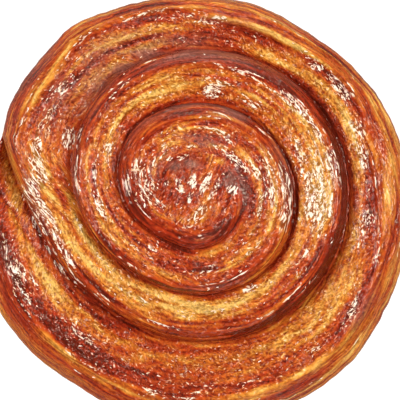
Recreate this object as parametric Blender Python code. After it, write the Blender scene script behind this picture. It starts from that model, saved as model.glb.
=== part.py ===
"""A coiled Danish pastry: one strand of laminated dough, wound flat, risen and baked.

Run it with blender --background --python part.py, or from Blender's text editor.
Metres, +Z up. The origin is the middle of the flat base. Angles along the strand are in
degrees and keep counting: the tail's tip is at TIP_ANGLE on the rim, and one more turn
inwards adds 360. The strand is wound up from a flat grid: one side of the grid is the
strand's length and the other runs across it, from its outer edge to its inner one.
"""

import math

import bmesh
import bpy
from mathutils import Vector, noise

MM = 0.001
TURN = 360.0

# The rim, seen from above: a circle with shoulders, flats and the notch at the tail's tip.
RIM_RADIUS = 55.0 * MM
RIM_SWELLS = (  # (middle angle, half width in degrees, how far it stands out)
    (16.5, 14.0, 0.6 * MM),
    (57.0, 12.0, -1.0 * MM),
    (126.5, 9.5, 1.4 * MM),
    (164.0, 9.0, -2.2 * MM),
    (208.0, 14.0, 1.1 * MM),
    (238.0, 13.0, -1.0 * MM),
    (308.0, 13.0, 0.8 * MM),
)

# The coil, about its own pole: each turn is nearly round, and steps in over one jog.
POLE = Vector((1.5, 3.9)) * MM
TIP_ANGLE = 163.0
GROOVE_RADIUS = 49.3 * MM
STEADY_STEP = 0.46 * MM
JOG_STEP = 12.16 * MM
JOG_START = 121.3
JOG_SPAN = 124.5
DRIFT = Vector((0.72, 0.59)) * MM
DRIFT_PER_TURN = Vector((-0.87, -1.0)) * MM
DRIFT_FROM = 540.0
FLARE_SPAN = 32.0
EYE_SHIFT = Vector((-2.5, 4.3)) * MM
EYE_REACH = 14.0 * MM

# Heights, turn by turn from the rim to the knot in the middle.
RIM_HEIGHT = 7.5 * MM
CREST_HEIGHTS = (18.5 * MM, 22.8 * MM, 26.0 * MM, 27.8 * MM)
GROOVE_HEIGHTS = (RIM_HEIGHT, 14.2 * MM, 18.8 * MM, 23.6 * MM)
KNOT_HEIGHT = 28.0 * MM
GROOVE_RUN_IN = 75.0
GROOVE_RUN_OUT = (1430.0, 1540.0)
TIP_TAPER = 34.0

# The strand's section.
OUTER_CREST_AT = 0.42
INNER_CREST_AT = 0.34
WALL_ROUNDNESS = 1.8
SLOPE_ROUNDNESS = 1.6

# The relief that runs along it: layers, lumps, and a crease beside the groove in the tail.
LAYERS_ACROSS = 5
LAYER_RELIEF = 0.4 * MM
LAYER_WANDER = 0.45
WANDER_SPAN = 45.0
FULL_WIDTH = 10.0 * MM
LUMP_RELIEF = 1.0 * MM
LUMP_SIZE = 13.0 * MM
CREASE_ANGLE = 209.0
CREASE_SPAN = 30.0
CREASE_FROM_GROOVE = 3.1 * MM
CREASE_WIDTH = 1.1 * MM
CREASE_DEPTH = 1.0 * MM

# The wall under the rim.
BASE_INSET = 4.2 * MM
WALL_LAYERS = 2.5
WALL_RELIEF = 0.3 * MM

# How finely the surface is cut up.
STEPS_PER_TURN = 60
STEPS_ACROSS = 20
CROWDING = 1.5
WALL_ROWS = 8
WELD = 0.001 * MM

CRUST_COLOUR = (0.42, 0.13, 0.022, 1.0)
CRUST_ROUGHNESS = 0.28


def smooth(share):
    """0 to 1 with a soft start and end."""
    share = min(max(share, 0.0), 1.0)
    return share * share * (3.0 - 2.0 * share)


def swell(angle, middle, half_width):
    """A soft bump of height 1 round the middle angle."""
    away = (angle - middle + TURN / 2) % TURN - TURN / 2
    return math.exp(-((away / half_width) ** 2))


def heading(angle):
    """The direction from the pole at this angle."""
    return Vector((math.cos(math.radians(angle)), math.sin(math.radians(angle))))


def rim_radius(angle):
    """From the pole out to the rim."""
    along = POLE.dot(heading(angle))
    radius = math.sqrt(RIM_RADIUS**2 - POLE.length_squared + along**2) - along
    return radius + sum(out * swell(angle, middle, half) for middle, half, out in RIM_SWELLS)


def level(angle):
    """How many turns in the strand is here: it steps up by one over each jog."""
    turns, share = divmod((angle - JOG_START) / TURN - 1.0, 1.0)
    return max(turns + smooth(share * TURN / JOG_SPAN), 0.0)


def coil_radius(angle):
    """The steady spiral of the groove, before its flare at the tail."""
    turns = (angle - DRIFT_FROM) / TURN
    steady = GROOVE_RADIUS - STEADY_STEP * turns - JOG_STEP * level(angle)
    return steady + (DRIFT + DRIFT_PER_TURN * turns).dot(heading(angle))


def edge_radius(angle):
    """The strand's outer edge: the rim in its first turn, and from there on the groove."""
    groove_angle = angle - TIP_ANGLE - TURN
    if groove_angle <= 0.0:
        return rim_radius(angle)
    open_share = max(1.0 - groove_angle / FLARE_SPAN, 0.0) ** 2
    flare = rim_radius(TIP_ANGLE) - coil_radius(TIP_ANGLE + TURN)
    return max(coil_radius(angle) + flare * open_share, 0.0)


def between(values, place):
    """The value at this place along a row of values."""
    place = min(max(place, 0.0), len(values) - 1.0)
    lower = min(int(place), len(values) - 2)
    return values[lower] + (values[lower + 1] - values[lower]) * (place - lower)


def edge_height(angle):
    """The height of the strand's outer edge, which runs in at the tail and out at the knot."""
    run_in = smooth((angle - TIP_ANGLE - TURN) / GROOVE_RUN_IN)
    run_out = smooth((angle - GROOVE_RUN_OUT[0]) / (GROOVE_RUN_OUT[1] - GROOVE_RUN_OUT[0]))
    height = RIM_HEIGHT + (between(GROOVE_HEIGHTS, max(level(angle), 1.0)) - RIM_HEIGHT) * run_in
    return height + (KNOT_HEIGHT - height) * run_out


def crest_height(angle):
    """The height of the strand's back, which tapers at the tail's tip."""
    taper = math.sqrt(smooth((angle - TIP_ANGLE) / TIP_TAPER))
    return RIM_HEIGHT + (between(CREST_HEIGHTS, level(angle)) - RIM_HEIGHT) * taper


def crest_share(angle):
    """How far across the strand its back is."""
    return OUTER_CREST_AT + (INNER_CREST_AT - OUTER_CREST_AT) * min(level(angle), 1.0)


def section_height(angle, across):
    """The height of the strand at a share of its way across."""
    crest_at = crest_share(angle)
    crest = crest_height(angle)
    if across < crest_at:
        rise = (1.0 - (1.0 - across / crest_at) ** WALL_ROUNDNESS) ** (1.0 / WALL_ROUNDNESS)
        return edge_height(angle) + (crest - edge_height(angle)) * rise
    fall = ((across - crest_at) / (1.0 - crest_at)) ** SLOPE_ROUNDNESS
    return crest + (edge_height(angle + TURN) - crest) * fall


def layer_relief(angle, share):
    """The edges of the dough's layers: low ridges along the strand that die out in the grooves."""
    wander = LAYER_WANDER * noise.noise(Vector((angle / WANDER_SPAN, share, 0.0)))
    ridge = math.sin(2.0 * math.pi * (LAYERS_ACROSS * share + wander))
    return LAYER_RELIEF * ridge * (1.0 - (2.0 * share - 1.0) ** 4)


def crease_relief(angle, from_groove):
    """The crease that runs beside the groove in the tail."""
    away = (from_groove - CREASE_FROM_GROOVE) / CREASE_WIDTH
    along = (angle - CREASE_ANGLE) / CREASE_SPAN
    return -CREASE_DEPTH * math.exp(-(away**2) - along**4)


def lump_relief(place, height):
    """Uneven rise: broad lumps that grow with the height over the rim."""
    lump = noise.noise(Vector((place.x, place.y, 0.0)) / LUMP_SIZE)
    return LUMP_RELIEF * lump * max(height - RIM_HEIGHT, 0.0) / (KNOT_HEIGHT - RIM_HEIGHT)


def strand_point(angle, share):
    """A point of the strand's top: share is 0 at its outer edge and 1 at its inner one."""
    across = share**CROWDING
    outer, inner = edge_radius(angle), edge_radius(angle + TURN)
    radius = outer + (inner - outer) * across
    height = section_height(angle, across)
    if 0.0 < share < 1.0:
        fullness = smooth(min(outer - inner, radius) / FULL_WIDTH)
        ridge = fullness * layer_relief(angle, share)
        lean = math.pi / 2 * max(1.0 - share / crest_share(angle), 0.0)
        radius += ridge * math.sin(lean)
        height += ridge * math.cos(lean) + fullness * crease_relief(angle, radius - inner)
    place = POLE + heading(angle) * radius + EYE_SHIFT * smooth(1.0 - radius / EYE_REACH)
    return Vector((place.x, place.y, height + lump_relief(place, height)))


def wall_point(angle, down):
    """A point of the wall under the rim: down is 0 at the rim and 1 at the base's edge."""
    inset = BASE_INSET * (1.0 - math.sqrt(1.0 - down**2))
    ledge = WALL_RELIEF * math.sin(2.0 * math.pi * WALL_LAYERS * down) * math.sin(math.pi * down)
    place = POLE + heading(angle) * (rim_radius(angle) - inset + ledge)
    return Vector((place.x, place.y, RIM_HEIGHT * (1.0 - down)))


def strand_length():
    """Whole steps along the strand until its edge has run into the middle."""
    steps = 0
    while edge_radius(TIP_ANGLE + steps * TURN / STEPS_PER_TURN) > 0.0:
        steps += 1
    return steps


def wound_grid(mesh, steps_along, steps_across, point):
    """A flat grid whose vertices are moved to point(angle, across)."""
    grid = bmesh.ops.create_grid(mesh, x_segments=steps_along, y_segments=steps_across, size=0.5)
    for vertex in grid["verts"]:
        along = round((vertex.co.x + 0.5) * steps_along)
        across = round((vertex.co.y + 0.5) * steps_across) / steps_across
        vertex.co = point(TIP_ANGLE + along * TURN / STEPS_PER_TURN, across)


def to_the_middle(mesh):
    """The level shift that puts the middle of the mesh's extent over the origin."""
    across = [vertex.co.x for vertex in mesh.verts]
    along = [vertex.co.y for vertex in mesh.verts]
    return Vector((-(min(across) + max(across)) / 2, -(min(along) + max(along)) / 2, 0.0))


def clear_scene():
    """Removes whatever the open file holds."""
    for item in list(bpy.data.objects):
        bpy.data.objects.remove(item, do_unlink=True)


def crust_material():
    """Glazed brown crust."""
    material = bpy.data.materials.new("glazed_crust")
    material.use_nodes = True
    shader = material.node_tree.nodes["Principled BSDF"]
    shader.inputs["Base Color"].default_value = CRUST_COLOUR
    shader.inputs["Roughness"].default_value = CRUST_ROUGHNESS
    shader.inputs["Metallic"].default_value = 0.0
    return material


def build_pastry():
    """Winds the strand and the wall, welds their shared edges and closes the base."""
    mesh = bmesh.new()
    wound_grid(mesh, strand_length(), STEPS_ACROSS, strand_point)
    wound_grid(mesh, STEPS_PER_TURN, WALL_ROWS, wall_point)
    bmesh.ops.remove_doubles(mesh, verts=mesh.verts, dist=WELD)
    bmesh.ops.dissolve_degenerate(mesh, edges=mesh.edges, dist=WELD)
    open_edges = [edge for edge in mesh.edges if edge.is_boundary]
    bmesh.ops.edgeloop_fill(mesh, edges=open_edges)
    bmesh.ops.recalc_face_normals(mesh, faces=mesh.faces)
    bmesh.ops.translate(mesh, verts=mesh.verts, vec=to_the_middle(mesh))

    data = bpy.data.meshes.new("danish_swirl")
    mesh.to_mesh(data)
    mesh.free()
    data.shade_smooth()
    data.materials.append(crust_material())
    return bpy.data.objects.new("danish_swirl", data)


def main():
    """Builds the pastry in its own collection."""
    clear_scene()
    collection = bpy.data.collections.new("danish_pastry")
    bpy.context.scene.collection.children.link(collection)
    collection.objects.link(build_pastry())


main()
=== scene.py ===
"""Looks for the coiled Danish pastry: its glazed, layered crust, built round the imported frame.

Metres, +Z up, in the frame's own axes. Angles along the strand are in degrees and keep
counting inwards: the tail's tip is at CoilPlan.tip_angle on the rim, and one more turn adds
360. A share runs across the strand, from 0 at its outer edge to 1 at its inner one.
"""

from __future__ import annotations

import logging
import math
from dataclasses import dataclass
from dataclasses import field
from dataclasses import replace
from enum import Enum

import bmesh
import bpy
import numpy as np
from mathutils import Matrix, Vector
from mathutils import noise


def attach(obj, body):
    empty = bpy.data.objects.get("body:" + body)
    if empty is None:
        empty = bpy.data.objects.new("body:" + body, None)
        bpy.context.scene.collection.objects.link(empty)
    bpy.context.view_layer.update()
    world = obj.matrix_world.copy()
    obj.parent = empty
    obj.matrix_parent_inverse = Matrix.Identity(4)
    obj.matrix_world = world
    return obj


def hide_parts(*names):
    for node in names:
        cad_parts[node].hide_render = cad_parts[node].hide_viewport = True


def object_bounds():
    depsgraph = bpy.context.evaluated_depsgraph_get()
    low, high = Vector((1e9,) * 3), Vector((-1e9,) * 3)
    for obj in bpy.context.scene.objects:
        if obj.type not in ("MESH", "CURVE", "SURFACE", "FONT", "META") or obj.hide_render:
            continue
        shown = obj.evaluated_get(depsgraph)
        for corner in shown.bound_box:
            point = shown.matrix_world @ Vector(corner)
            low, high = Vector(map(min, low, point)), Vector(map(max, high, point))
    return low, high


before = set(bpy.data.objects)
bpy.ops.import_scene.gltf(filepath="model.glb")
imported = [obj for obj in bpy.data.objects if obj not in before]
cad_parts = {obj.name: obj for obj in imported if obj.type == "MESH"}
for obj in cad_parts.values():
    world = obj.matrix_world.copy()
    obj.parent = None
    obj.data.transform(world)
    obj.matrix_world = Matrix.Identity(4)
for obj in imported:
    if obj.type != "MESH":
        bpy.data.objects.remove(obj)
CAD_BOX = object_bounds()

LOG = logging.getLogger("danish_pastry")
NODE = "danish_swirl"
MM = 0.001
TURN = 360.0

# More turns than the strand has, the least length that a vector is divided by, and the tilt by
# which an upright normal counts as one that faces up.
MOST_TURNS = 6
SHORTEST = 1e-12
LEVEL_TILT = 1e-9

Array = np.ndarray
Stops = tuple[tuple[float, float], ...]
Colour = tuple[float, float, float]
Ramp = tuple[tuple[float, Colour], ...]
Socket = bpy.types.NodeSocket


class Seed(Enum):
    """The seed of each random pattern, so that every build draws the same ones."""

    LAYER_WARP = 3
    LAYER_STRENGTH = 4
    LARGE_BLISTERS = 5
    SMALL_BLISTERS = 6
    WRINKLES = 7
    SIDEWAYS_BEND = 8
    SLOW_RUFFLE = 9
    QUICK_RUFFLE = 10
    INWARD_BEND = 11
    WALL_WARP = 12
    CORDS = 13
    CORD_BEND = 14
    TOAST_DRIFT = 21
    BUBBLY_DRIFT = 22
    GLOSS_AND_GLINT_EDGES = 31
    PAINTED_SHEEN_EDGES = 32
    FINE_SEAMS = 41
    GLINTS = 42
    KNOT_BEND = 51
    KNOT_RIDGES = 52
    KNOT_BEADS = 53
    DROPS = 61


def smooth(share: Array) -> Array:
    """0 to 1 with a soft start and end."""
    share = np.clip(share, 0.0, 1.0)
    return share * share * (3.0 - 2.0 * share)


def heading(angle: Array) -> tuple[Array, Array]:
    """The x and y of the direction at an angle in degrees."""
    turned = np.radians(angle)
    return np.cos(turned), np.sin(turned)


def window(value: Array, middle: float, half_width: float, power: float = 2.0) -> Array:
    """A bump of height 1 at the middle, flatter on top and steeper at the sides as power grows."""
    return np.exp(-(np.abs((value - middle) / half_width) ** power))


def along_stops(value: Array, stops: Stops) -> Array:
    """The second number of the stops, read off between them at a value of the first."""
    places, heights = zip(*stops)
    return np.interp(value, places, heights)


def turned_away(angle: Array, middle: float) -> Array:
    """How far an angle is from a direction, from minus half a turn to half a turn."""
    return (angle - middle + TURN / 2) % TURN - TURN / 2


def unit(vectors: Array) -> Array:
    """The vectors at a length of one."""
    return vectors / np.maximum(np.linalg.norm(vectors, axis=-1, keepdims=True), SHORTEST)


def rows_of(kind: type, *rows: tuple[float, ...]) -> tuple:
    """One object of a kind from each row of its numbers, in the order of its fields."""
    return tuple(kind(*row) for row in rows)


@dataclass(frozen=True)
class Grain:
    """Smooth seeded noise over a plane, from about -1 to 1."""

    seed: Seed
    cells: int = 509
    gain: float = 1.5

    def __call__(self, x: Array, y: Array) -> Array:
        """Reads the noise at the places (x, y), measured in cells.

        Args:
            x: places along the first axis.
            y: places along the second axis, of the same shape.

        Returns:
            The noise there.
        """
        turned = np.random.default_rng(self.seed.value).uniform(0.0, 2.0 * np.pi, (self.cells, self.cells))
        slope_x, slope_y = np.cos(turned), np.sin(turned)
        x, y = np.broadcast_arrays(x, y)
        column = np.floor(x).astype(int)
        row = np.floor(y).astype(int)
        total = np.zeros(x.shape)
        for step_x in (0, 1):
            for step_y in (0, 1):
                cell = ((column + step_x) % self.cells, (row + step_y) % self.cells)
                away_x = x - column - step_x
                away_y = y - row - step_y
                near = smooth(1.0 - np.abs(away_x)) * smooth(1.0 - np.abs(away_y))
                total += near * (slope_x[cell] * away_x + slope_y[cell] * away_y)
        return self.gain * total


@dataclass(frozen=True)
class Blisters:
    """Round bumps scattered over a plane, one to a cell at most."""

    seed: Seed
    chance: float
    smallest: float = 0.25
    largest: float = 0.6
    middles: tuple[float, float] = (0.2, 0.8)
    roundness: float = 0.75
    cells: int = 509

    def __call__(self, x: Array, y: Array) -> Array:
        """The height of the bumps at the places (x, y), measured in cells.

        Args:
            x: places along the first axis.
            y: places along the second axis, of the same shape.

        Returns:
            0 between the bumps, up to 1 at the top of the largest.
        """
        draw = np.random.default_rng(self.seed.value)
        shape = (self.cells, self.cells)
        centre_x = draw.uniform(*self.middles, shape)
        centre_y = draw.uniform(*self.middles, shape)
        there = draw.uniform(0.0, 1.0, shape) < self.chance
        radius = draw.uniform(self.smallest, self.largest, shape)
        height = np.zeros(np.broadcast(x, y).shape)
        for step_x in (-1, 0, 1):
            for step_y in (-1, 0, 1):
                column = np.floor(x).astype(int) + step_x
                row = np.floor(y).astype(int) + step_y
                cell = (column % self.cells, row % self.cells)
                away = np.hypot(x - column - centre_x[cell], y - row - centre_y[cell])
                rise = np.clip(1.0 - (away / radius[cell]) ** 2, 0.0, 1.0) ** self.roundness
                rise = rise * there[cell] * radius[cell] / self.largest
                height = np.maximum(height, rise)
        return height


@dataclass(frozen=True)
class Swell:
    """A soft bulge of the rim or, where out is below zero, a hollow."""

    middle: float
    half_width: float
    out: float


@dataclass(frozen=True)
class CoilPlan:
    """Where the strand runs: the rim, the spiral of its groove, and their heights."""

    rim_circle: float = 55.0 * MM
    swells: tuple[Swell, ...] = (
        Swell(16.5, 14.0, 0.6 * MM),
        Swell(57.0, 12.0, -1.0 * MM),
        Swell(126.5, 9.5, 1.4 * MM),
        Swell(164.0, 9.0, -2.2 * MM),
        Swell(208.0, 14.0, 1.1 * MM),
        Swell(238.0, 13.0, -1.0 * MM),
        Swell(308.0, 13.0, 0.8 * MM),
    )
    pole: tuple[float, float] = (1.5 * MM, 3.9 * MM)
    tip_angle: float = 163.0
    groove_circle: float = 49.3 * MM
    steady_step: float = 0.46 * MM
    jog_step: float = 12.16 * MM
    jog_start: float = 121.3
    jog_span: float = 124.5
    drift: tuple[float, float] = (0.72 * MM, 0.59 * MM)
    drift_per_turn: tuple[float, float] = (-0.87 * MM, -1.0 * MM)
    drift_from: float = 540.0
    flare_span: float = 32.0
    eye_shift: tuple[float, float] = (-2.5 * MM, 4.3 * MM)
    eye_reach: float = 14.0 * MM
    rim_height: float = 7.5 * MM
    crest_heights: tuple[float, ...] = (18.5 * MM, 22.8 * MM, 26.0 * MM, 27.8 * MM)
    groove_heights: tuple[float, ...] = (7.5 * MM, 15.8 * MM, 20.4 * MM, 24.8 * MM)
    knot_height: float = 28.0 * MM
    shallow_side: float = 150.0
    shallow_span: float = 75.0
    shallow_lift: float = 1.3 * MM
    groove_run_in: float = 32.0
    groove_run_out: tuple[float, float] = (1365.0, 1440.0)
    tip_taper: float = 34.0
    outer_crest_at: float = 0.42
    inner_crest_at: float = 0.34
    wall_roundness: float = 1.8
    slope_roundness: float = 1.6
    crowding: float = 1.5
    base_inset: float = 4.2 * MM

    def rim_radius(self, angle: Array) -> Array:
        """From the pole out to the rim.

        Args:
            angle: along the strand, in degrees.

        Returns:
            The rim's radius at each angle.
        """
        right, up = heading(angle)
        along = self.pole[0] * right + self.pole[1] * up
        pole_away = self.pole[0] ** 2 + self.pole[1] ** 2
        radius = np.sqrt(self.rim_circle**2 - pole_away + along**2) - along
        for swell in self.swells:
            away = turned_away(angle, swell.middle)
            radius = radius + swell.out * window(away, 0.0, swell.half_width)
        return radius

    def level(self, angle: Array) -> Array:
        """How many turns in the strand is: it steps up by one over each jog."""
        turns, share = np.divmod((angle - self.jog_start) / TURN - 1.0, 1.0)
        return np.maximum(turns + smooth(share * TURN / self.jog_span), 0.0)

    def coil_radius(self, angle: Array) -> Array:
        """The steady spiral of the groove, before its flare at the tail.

        Args:
            angle: along the strand, in degrees.

        Returns:
            The spiral's radius at each angle.
        """
        turns = (angle - self.drift_from) / TURN
        steady = self.groove_circle - self.steady_step * turns - self.jog_step * self.level(angle)
        right, up = heading(angle)
        right_drift = (self.drift[0] + self.drift_per_turn[0] * turns) * right
        return steady + right_drift + (self.drift[1] + self.drift_per_turn[1] * turns) * up

    def edge_radius(self, angle: Array) -> Array:
        """The strand's outer edge: the rim in its first turn, and then the groove.

        Args:
            angle: along the strand, in degrees.

        Returns:
            The edge's radius at each angle.
        """
        groove_angle = angle - self.tip_angle - TURN
        open_share = np.clip(1.0 - groove_angle / self.flare_span, 0.0, 1.0) ** 2
        tip = np.array(self.tip_angle)
        flare = self.rim_radius(tip) - self.coil_radius(tip + TURN)
        groove = np.maximum(self.coil_radius(angle) + flare * open_share, 0.0)
        return np.where(groove_angle <= 0.0, self.rim_radius(angle), groove)

    def by_level(self, values: tuple[float, ...], place: Array) -> Array:
        """The value at this place along a row of values, one for each level."""
        return np.interp(place, np.arange(len(values)), values)

    def edge_height(self, angle: Array) -> Array:
        """The height of the strand's outer edge, which runs in at the tail and out at the knot.

        Args:
            angle: along the strand, in degrees.

        Returns:
            The edge's height at each angle.
        """
        run_in = smooth((angle - self.tip_angle - TURN) / self.groove_run_in)
        start, end = self.groove_run_out
        run_out = smooth((angle - start) / (end - start))
        groove = self.by_level(self.groove_heights, np.maximum(self.level(angle), 1.0))
        away = turned_away(angle, self.shallow_side)
        groove = groove + self.shallow_lift * window(away, 0.0, self.shallow_span)
        height = self.rim_height + (groove - self.rim_height) * run_in
        return height + (self.knot_height - height) * run_out

    def crest_height(self, angle: Array) -> Array:
        """The height of the strand's back, which tapers at the tail's tip.

        Args:
            angle: along the strand, in degrees.

        Returns:
            The back's height at each angle.
        """
        taper = np.sqrt(smooth((angle - self.tip_angle) / self.tip_taper))
        crest = self.by_level(self.crest_heights, self.level(angle))
        return self.rim_height + (crest - self.rim_height) * taper

    def crest_share(self, angle: Array) -> Array:
        """How far across the strand its back is."""
        inner = np.minimum(self.level(angle), 1.0)
        return self.outer_crest_at + (self.inner_crest_at - self.outer_crest_at) * inner

    def section_height(self, angle: Array, across: Array) -> Array:
        """The height of the strand at a part of its way across.

        Args:
            angle: along the strand, in degrees.
            across: the part of the way, from 0 at the outer edge to 1 at the inner one.

        Returns:
            The height at each place.
        """
        crest_at = self.crest_share(angle)
        crest = self.crest_height(angle)
        edge = self.edge_height(angle)
        climb = np.clip(1.0 - across / crest_at, 0.0, 1.0) ** self.wall_roundness
        wall = edge + (crest - edge) * (1.0 - climb) ** (1.0 / self.wall_roundness)
        fall = np.clip((across - crest_at) / (1.0 - crest_at), 0.0, 1.0) ** self.slope_roundness
        slope = crest + (self.edge_height(angle + TURN) - crest) * fall
        return np.where(across < crest_at, wall, slope)


@dataclass(frozen=True)
class StrandGrid:
    """Tables of places on the strand: a row for each step along it, a column for each across."""

    plan: CoilPlan
    angle: Array
    share: Array
    along: Array
    outer: Array
    inner: Array
    radius: Array
    eye_size: float = 9.5 * MM
    eye_edge: float = 1.5
    eye_start: float = 1000.0
    eye_span: float = 100.0
    turn_blend: float = 0.1

    @classmethod
    def wind(cls, plan: CoilPlan, steps_per_turn: int, steps_across: int) -> StrandGrid:
        """Lays the grid from the tail's tip to the middle of the knot.

        Args:
            plan: where the strand runs.
            steps_per_turn: the rows in one turn.
            steps_across: the steps from one edge of the strand to the other.

        Returns:
            The grid.
        """
        step = TURN / steps_per_turn
        angles = plan.tip_angle + step * np.arange(MOST_TURNS * steps_per_turn)
        length = int(np.argmax(plan.edge_radius(angles) <= 0.0))
        shares = np.linspace(0.0, 1.0, steps_across + 1)
        angle, share = np.meshgrid(angles[: length + 1], shares, indexing="ij")
        outer = plan.edge_radius(angle)
        inner = plan.edge_radius(angle + TURN)
        radius = outer + (inner - outer) * share**plan.crowding
        middle = (outer + inner)[:, :1] / 2
        along = np.cumsum(middle * math.radians(step), axis=0) * np.ones_like(share)
        return cls(plan, angle, share, along, outer, inner, radius)

    @property
    def width(self) -> Array:
        """How wide the strand is."""
        return self.outer - self.inner

    @property
    def across(self) -> Array:
        """How far each place is from the strand's outer edge."""
        return self.outer - self.radius

    def in_the_eye(self) -> Array:
        """How much each place belongs to the middle of the knot, where no coil shows."""
        near = smooth(self.eye_edge - self.radius / self.eye_size)
        return near * smooth((self.angle - self.eye_start) / self.eye_span)

    def turn_weights(self) -> tuple[Array, ...]:
        """How much each place belongs to each turn.

        Returns:
            The weights of the first, second, third and last turn, which add up to 1.
        """
        place = (self.angle - self.plan.tip_angle) / TURN
        edges = [smooth((place - whole) / self.turn_blend + 0.5) for whole in (1, 2, 3)]
        return 1.0 - edges[0], edges[0] - edges[1], edges[1] - edges[2], edges[2]


@dataclass(frozen=True)
class Seam:
    """A fine line that runs along the strand, such as the edge of a layer of dough.

    Its stops are angles and shares. Where the depth is below zero it stands up as a lip.
    """

    stops: Stops
    width: float
    depth: float
    browning: float

    def weight(self, grid: StrandGrid, run_in: float = 6.0) -> Array:
        """How much of the seam each place has.

        Args:
            grid: the strand's places.
            run_in: the degrees over which the seam starts and ends.

        Returns:
            0 away from the seam, up to 1 on it.
        """
        away = (grid.share - along_stops(grid.angle, self.stops)) * grid.width
        start, end = self.stops[0][0], self.stops[-1][0]
        there = smooth((grid.angle - start) / run_in + 0.5) * smooth((end - grid.angle) / run_in + 0.5)
        return there * window(away, 0.0, self.width)


SeamWeights = list[tuple[Seam, Array]]


@dataclass(frozen=True)
class Patch:
    """A soft spot of the crust that is paler or, where change is below zero, browner."""

    angle: float
    share: float
    half_length: float
    half_width: float
    change: float
    length_power: float = 3.0
    width_power: float = 2.5

    def weight(self, grid: StrandGrid) -> Array:
        """How much of the patch each place has, from 0 to 1."""
        length = window(grid.angle, self.angle, self.half_length, self.length_power)
        return length * window(grid.share, self.share, self.half_width, self.width_power)


@dataclass(frozen=True)
class Spot:
    """An oval place on the knot's dome: its middle and half sizes in millimetres, turned by degrees."""

    x: float
    y: float
    half_length: float
    half_width: float
    turned: float
    amount: float
    power: int = 3

    def weight(self, x: Array, y: Array) -> Array:
        """How much of the spot each place has.

        Args:
            x: places along the first axis, in metres.
            y: places along the second axis, of the same shape.

        Returns:
            0 outside the spot, up to its amount in its middle.
        """
        right, up = heading(np.array(self.turned))
        away_x, away_y = x / MM - self.x, y / MM - self.y
        ahead = (away_x * right + away_y * up) / self.half_length
        aside = (away_y * right - away_x * up) / self.half_width
        return self.amount * np.exp(-(np.hypot(ahead, aside) ** self.power))


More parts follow.
